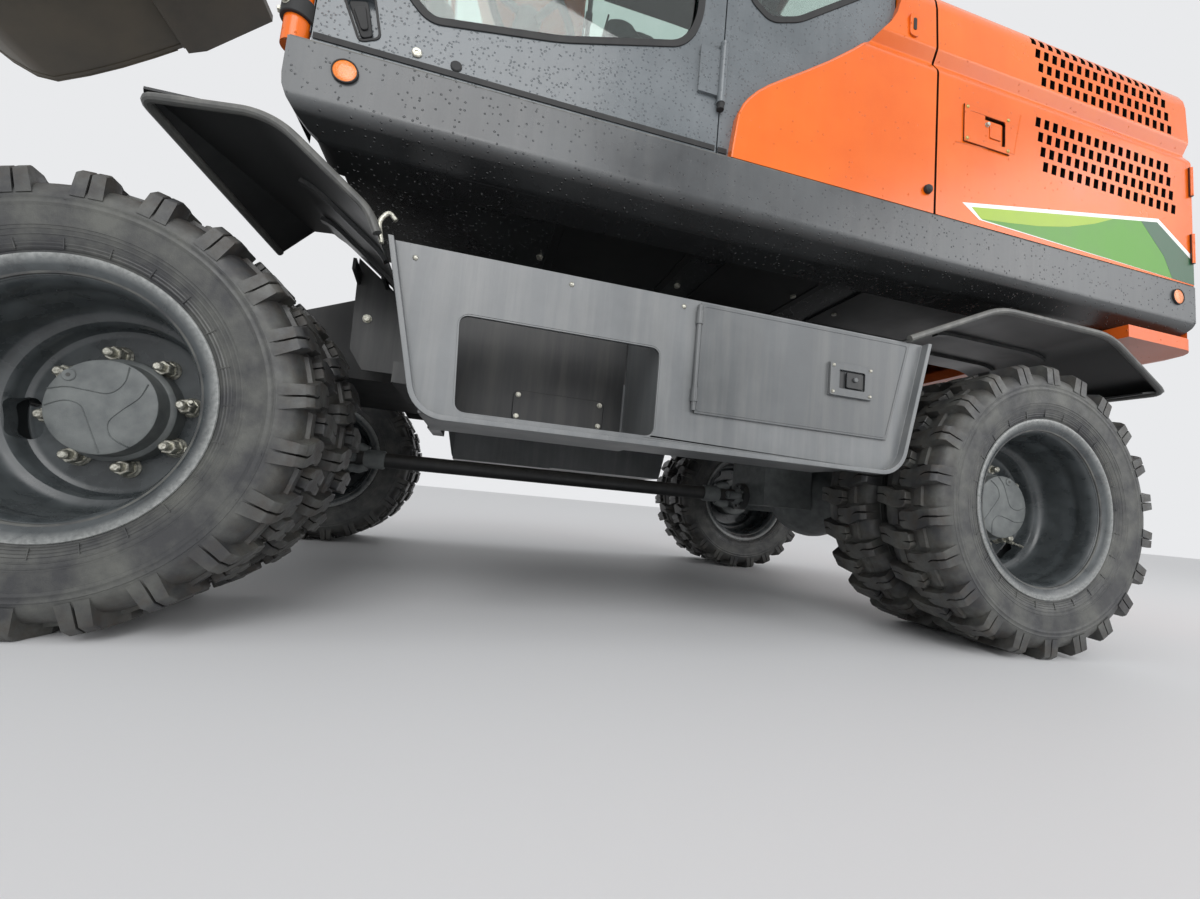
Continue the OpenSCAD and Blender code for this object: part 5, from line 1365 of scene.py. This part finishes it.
# Pressed glass with upright ribs in front of a bright reflector; its pale colour, striped along the ribs, is a painted
# reflection.
lens, tree, spot = new_material("ribbed_lamp_lens")
ribs = add(tree, "TexWave", spot, Scale=38.0, bands_direction="Y")
tint = add(tree, "ValToRGB", ribs.outputs["Fac"], stops=((0.0, "#C9CED1"), (1.0, "#F0F3F4")))
facet = add(tree, "Bump", Height=ribs.outputs["Fac"], Strength=0.4, Distance=0.001)
add(tree, "OutputMaterial", add(tree, "BsdfPrincipled", Base_Color=tint, Normal=facet, Roughness=0.06, IOR=1.5,
                                Coat_Weight=0.5))

bm = bmesh.new()
for side in (1, -1):
    for x in (0.906, -2.036):
        at = Vector((swing_x + x, side * (panel_y + 0.0003), 1.35))
        lathe(bm, [(0.0, 0.0078), (0.01, 0.0077), (0.022, 0.0066), (0.0272, 0.0048), (0.0275, 0.003), (0.0, 0.003)],
              32, facing(at, (0, side, 0)))
        lathe(bm, [(0.0265, 0.0), (0.031, 0.0), (0.031, 0.0055), (0.03, 0.0066), (0.0278, 0.0062), (0.0265, 0.004)],
              32, facing(at, (0, side, 0)), closed=True, material=1)
roof_z = shell_high.z
beacon = Vector((swing_x - 0.5, (shell_low.y + shell_high.y) / 2, roof_z + 0.0003))
lathe(bm, [(0.0, 0.11), (0.02, 0.109), (0.036, 0.103), (0.044, 0.09), (0.046, 0.036), (0.0465, 0.026), (0.0, 0.026)],
      32, facing(beacon, (0, 0, 1)))
for (x0, y0), (x1, y1) in zip(circle(0.0462, 12), circle(0.0445, 12)):
    tube(bm, [beacon + Vector((x0, y0, 0.036)), beacon + Vector((x1, y1, 0.09))], 0.0018, 5)
lathe(bm, [(0.0, 0.0), (0.058, 0.0), (0.06, 0.004), (0.058, 0.018), (0.05, 0.027), (0.0, 0.027)],
      32, facing(beacon, (0, 0, 1)), material=1)
across = Matrix(((0, 0, 1, 0), (1, 0, 0, 0), (0, 1, 0, 0), (0, 0, 0, 1)))
lamp_ys = (shell_low.y + 0.12, shell_high.y - 0.12)
for y in lamp_ys:
    base = Matrix.Translation((swing_x + 0.73, y, roof_z)) @ across
    cut_plate(bm, [soft_rect(-0.058, 0.014, 0.058, 0.089, 0.016)], 0.048, base, 0.008, 1)
    cut_plate(bm, [soft_rect(-0.024, 0.0005, 0.024, 0.02, 0.004)], 0.02, base, 0.003, 1)
    for k in range(7):
        z = 0.022 + 0.01 * k
        cut_plate(bm, [soft_rect(-0.046, z, 0.046, z + 0.003, 0.001)],
                  0.008, Matrix.Translation((-0.024, 0, 0)) @ base, material=1)
for y in lamp_ys:
    base = Matrix.Translation((swing_x + 0.7548, y, roof_z)) @ across
    cut_plate(bm, [soft_rect(-0.05, 0.021, 0.05, 0.082, 0.012)], 0.005, base, 0.0015, 2)
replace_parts(make_piece("lamps_and_reflectors", bm, [amber, black_rubber, lens], "upper"), "lamps")

# ---- Boom and arm ----
# Box girders welded of steel plate in orange enamel, with weld beads along
# their edges, steel oil lines clamped along the back of the boom, and ground
# steel pins held by bolted keeper plates.

pivot = {name: Vector(joint["pos_m"]) for name, joint in joints.items() if "pos_m" in joint}


def aim(a, b):
    return math.atan2(b.z - a.z, b.x - a.x)


def pin_line(origin, angle):
    """The frame of a pin line: x along it, y to the left, z square to it."""
    return Matrix.Translation(origin) @ Matrix.Rotation(-angle, 4, "Y")


boom_frame = pin_line(pivot["boom_pivot"], aim(pivot["boom_pivot"], pivot["arm_pivot"]))
arm_frame = pin_line(pivot["arm_pivot"], aim(pivot["arm_pivot"], pivot["bucket_pivot"]))
arm_long = (pivot["bucket_pivot"] - pivot["arm_pivot"]).length
boom_side, arm_side = 0.16, 0.14
# Where the boom cylinders' rods are pinned to the boom.
eye_x, eye_z = 1.75, 0.43
for paint, soften, dressed in (
    (orange_enamel, 0.004, ("boom", "arm")),
    (chassis_paint, 0.003, ("rockers", "bucket_link")),
    (deck_paint, 0.003, ("boom_barrels", "arm_barrel", "bucket_barrel")),
    (hard_chrome, 0.002, ("boom_rods", "arm_rod", "bucket_rod")),
):
    for node in dressed:
        dress(node, paint, soften)


def beads(bm, where, outline, y):
    """A weld bead along an outline on both sides of a girder."""
    for side in (1, -1):
        path = [where @ Vector((x, side * y, z)) for x, z in outline]
        tube(bm, path, 0.0045, 6)


def pin_end(bm, where, x, z, y, radius=0.052):
    """Both ends of a pin: a collar, the pin's face and a keeper plate with two bolts."""
    for side in (1, -1):
        at, way = where @ Vector((x, side * y, z)), (0, side, 0)
        rim = [(0.034, 0.012), (0.036, 0.004), (radius, 0.004), (radius + 0.004, 0.0), (0.0, 0.0)]
        lathe(bm, [(0.0, 0.016), (0.03, 0.016), *rim], 28, facing(at, way))
        for across, up in circle(0.026, 2, 35 / 180):
            bolt(bm, at + Vector((across, side * 0.016, up)), way, 0.01, washer=False, material=1)


back = [(0.06, 0.11), (1.15, 0.88), (1.65, 1.06), (2.05, 1.00), (2.45, 0.74), (3.35, 0.27)]
belly = [(0.0, -0.07), (0.75, 0.19), (1.45, 0.38), (1.8, 0.42), (2.35, 0.33), (3.7, -0.055)]
bm = bmesh.new()
for line, inset in ((back, -0.01), (belly, 0.012)):
    line = softened([(x, 0, z + inset) for x, z in line], 0.2)
    beads(bm, boom_frame, [(p.x, p.z) for p in line], boom_side + 0.0005)
pin_end(bm, boom_frame, 0.0, 0.0, boom_side + 0.05)
pin_end(bm, boom_frame, eye_x, eye_z, 0.25, 0.05)
make_piece("boom_welds", bm, [orange_enamel, zinc_steel], "boom")

line_steel = painted_steel("zinc_line_pipe", "#3A3C3E", "#56595B", (0.22, 0.4), runs=0.1, dust=0.2)
bm = bmesh.new()
oil_path = softened([(0.32, 0, 0.328), (1.13, 0, 0.902), (1.655, 0, 1.086), (2.075, 0, 1.022), (2.46, 0, 0.764),
                     (3.3, 0, 0.322)], 0.25)
for y in (0.105, 0.14, -0.105, -0.14):
    tube(bm, [boom_frame @ Vector((p.x, y, p.z)) for p in oil_path], 0.0105, 10)
    for x, z, slope in ((0.32, 0.328, 35), (3.3, 0.322, -27)):
        prism(bm, 6, 0.017, -0.022, 0.022, chamfer=0.002,
              where=boom_frame @ Matrix.Translation((x, y, z)) @ turned(-slope, "Y") @ turned(-90, "Z"))
for x, z, slope in ((0.5, 0.452, 35), (0.86, 0.707, 35), (1.35, 0.976, 19), (1.86, 1.048, -8), (2.72, 0.624, -28),
                    (3.12, 0.414, -28)):
    for side in (1, -1):
        clamp = boom_frame @ Matrix.Translation((x, side * 0.1225, z)) @ turned(-slope, "Y")
        cut_plate(bm, [soft_rect(-0.016, -0.034, 0.016, 0.034, 0.004)], 0.034, clamp, 0.003)
        bolt(bm, clamp @ Vector((0, 0, 0.017)), clamp.to_3x3() @ Vector((0, 0, 1)), 0.01, washer=False, material=1)
make_piece("boom_oil_lines", bm, [line_steel, zinc_steel], "boom")

bm = bmesh.new()
beads(bm, arm_frame, [(0.12, -0.16), (0.6, -0.122), (2.05, -0.066)], arm_side + 0.0005)
beads(bm, arm_frame, [(0.0, 0.162), (0.4, 0.182), (1.5, 0.077), (2.05, 0.06)], arm_side + 0.0005)
pin_end(bm, arm_frame, 0.0, 0.0, 0.18)
pin_end(bm, arm_frame, arm_long - 0.38, 0.0, arm_side + 0.035)
make_piece("arm_welds", bm, [orange_enamel, zinc_steel], "arm")

# ---- Hydraulic cylinders ----
# Drawn steel barrels in dark paint with a bolted gland, a wiper seal and a
# steel pipe to the gland port, over ground and chromed rods.


def gland(bm, origin, angle, y, r, span):
    """The bolted head of a cylinder and the pipe that feeds it."""
    where = Matrix.Translation((0, y, 0)) @ pin_line(origin, angle)
    end = 0.056 + span * 0.53
    lathe(bm, [(r * 1.01, -0.085), (r * 1.2, -0.082), (r * 1.22, -0.078), (r * 1.22, -0.002), (r * 1.19, 0.001),
               (r * 0.86, 0.001), (r * 0.84, 0.012), (r * 0.66, 0.014), (r * 0.615, 0.01), (r * 0.615, -0.02)],
          40, where @ Matrix.Translation((end, 0, 0)) @ turned(-90, "Z"))
    for y, z in circle(r * 1.02, 8, 0.5):
        at, way = where @ Vector((end + 0.001, y, z)), where.to_3x3() @ Vector((1, 0, 0))
        bolt(bm, at, way, 0.011, washer=False, material=1)
    for x in (end - 0.042, 0.115):
        prism(bm, 6, 0.019, 0.0, 0.036, chamfer=0.002, material=1,
              where=where @ Matrix.Translation((x, 0, r * (1.18 if x > 0.2 else 0.96))) @ turned(90, "X"))
    tube(bm, [where @ p for p in softened([(end - 0.042, 0, r * 1.2 + 0.034), (end - 0.1, 0, r * 1.2 + 0.034),
                                           (end - 0.13, 0, r + 0.017), (0.3, 0, r + 0.017), (0.26, 0, r + 0.034),
                                           (0.16, 0, r + 0.034)], 0.02)], 0.0095, 10, material=2)
    for x in (0.34, end - 0.22):
        ring = [where @ Vector((x, y, z)) for y, z in circle(r + 0.0025, 40)]
        tube(bm, [*ring, ring[0]], 0.004, 6, caps=False, material=1)


boom_rod_at = boom_frame @ Vector((eye_x, 0, eye_z))
tail, tail_way = 0.5, math.radians(160)
arm_rod_at = arm_frame @ Vector((tail * math.cos(tail_way), 0, tail * math.sin(tail_way)))
for name, body, start, end, radius, ys in (
    ("boom_cylinder_heads", "boom_barrels", pivot["boom_barrel_pivot"], boom_rod_at, 0.052, (0.248, -0.248)),
    ("arm_cylinder_head", "arm_barrel", pivot["arm_barrel_pivot"], arm_rod_at, 0.06, (0.0,)),
    ("bucket_cylinder_head", "bucket_barrel", pivot["bucket_barrel_pivot"], pivot["link_pivot"], 0.054, (0.0,)),
):
    bm = bmesh.new()
    for y in ys:
        gland(bm, Vector((start.x, 0, start.z)), aim(start, end), y, radius,
              (Vector((end.x, 0, end.z)) - Vector((start.x, 0, start.z))).length)
    make_piece(name, bm, [deck_paint, zinc_steel, line_steel], body)

# ---- Bucket and its linkage ----
# A rolled shell between two side plates with a thick cutting lip, in dark
# brown-black paint that digging has scuffed. Rockers and link are forged bars.

bucket_paint = painted_steel("scuffed_bucket_paint", "#3C3831", "#575044", (0.34, 0.58), runs=0.22, dust=0.3,
                             dust_colour="#7A6F5E")
dress("bucket", bucket_paint, 0.005)
bucket_frame = pin_line(pivot["bucket_pivot"], math.radians(189.2))
shell_line = [(0.11, -0.07), (0.112, 0.48), (0.126, 0.61), (0.171, 0.703), (0.27, 0.745), (0.373, 0.769),
              (0.45, 0.758), (0.557, 0.671), (0.663, 0.571), (0.77, 0.458), (0.849, 0.369)]
bm = bmesh.new()
for side in (1, -1):
    tube(bm, [bucket_frame @ Vector((x, side * 0.4605, z + 0.001)) for x, z in shell_line], 0.0055, 6)
    tube(bm, [bucket_frame @ Vector((0.127, side * (0.1755 + 0.034), z)) for z in (-0.05, 0.5)], 0.007, 6)
tube(bm, [bucket_frame @ Vector((0.878, y, 0.35)) for y in (-0.455, 0.455)], 0.006, 6)
pin_y = 0.2055
pin_end(bm, bucket_frame, 0.0, 0.0, pin_y)
link_arm, link_way = 0.34, math.radians(85)
pin_end(bm, bucket_frame, link_arm * math.cos(link_way), link_arm * math.sin(link_way), pin_y)
make_piece("bucket_welds", bm, [bucket_paint, zinc_steel], "bucket")
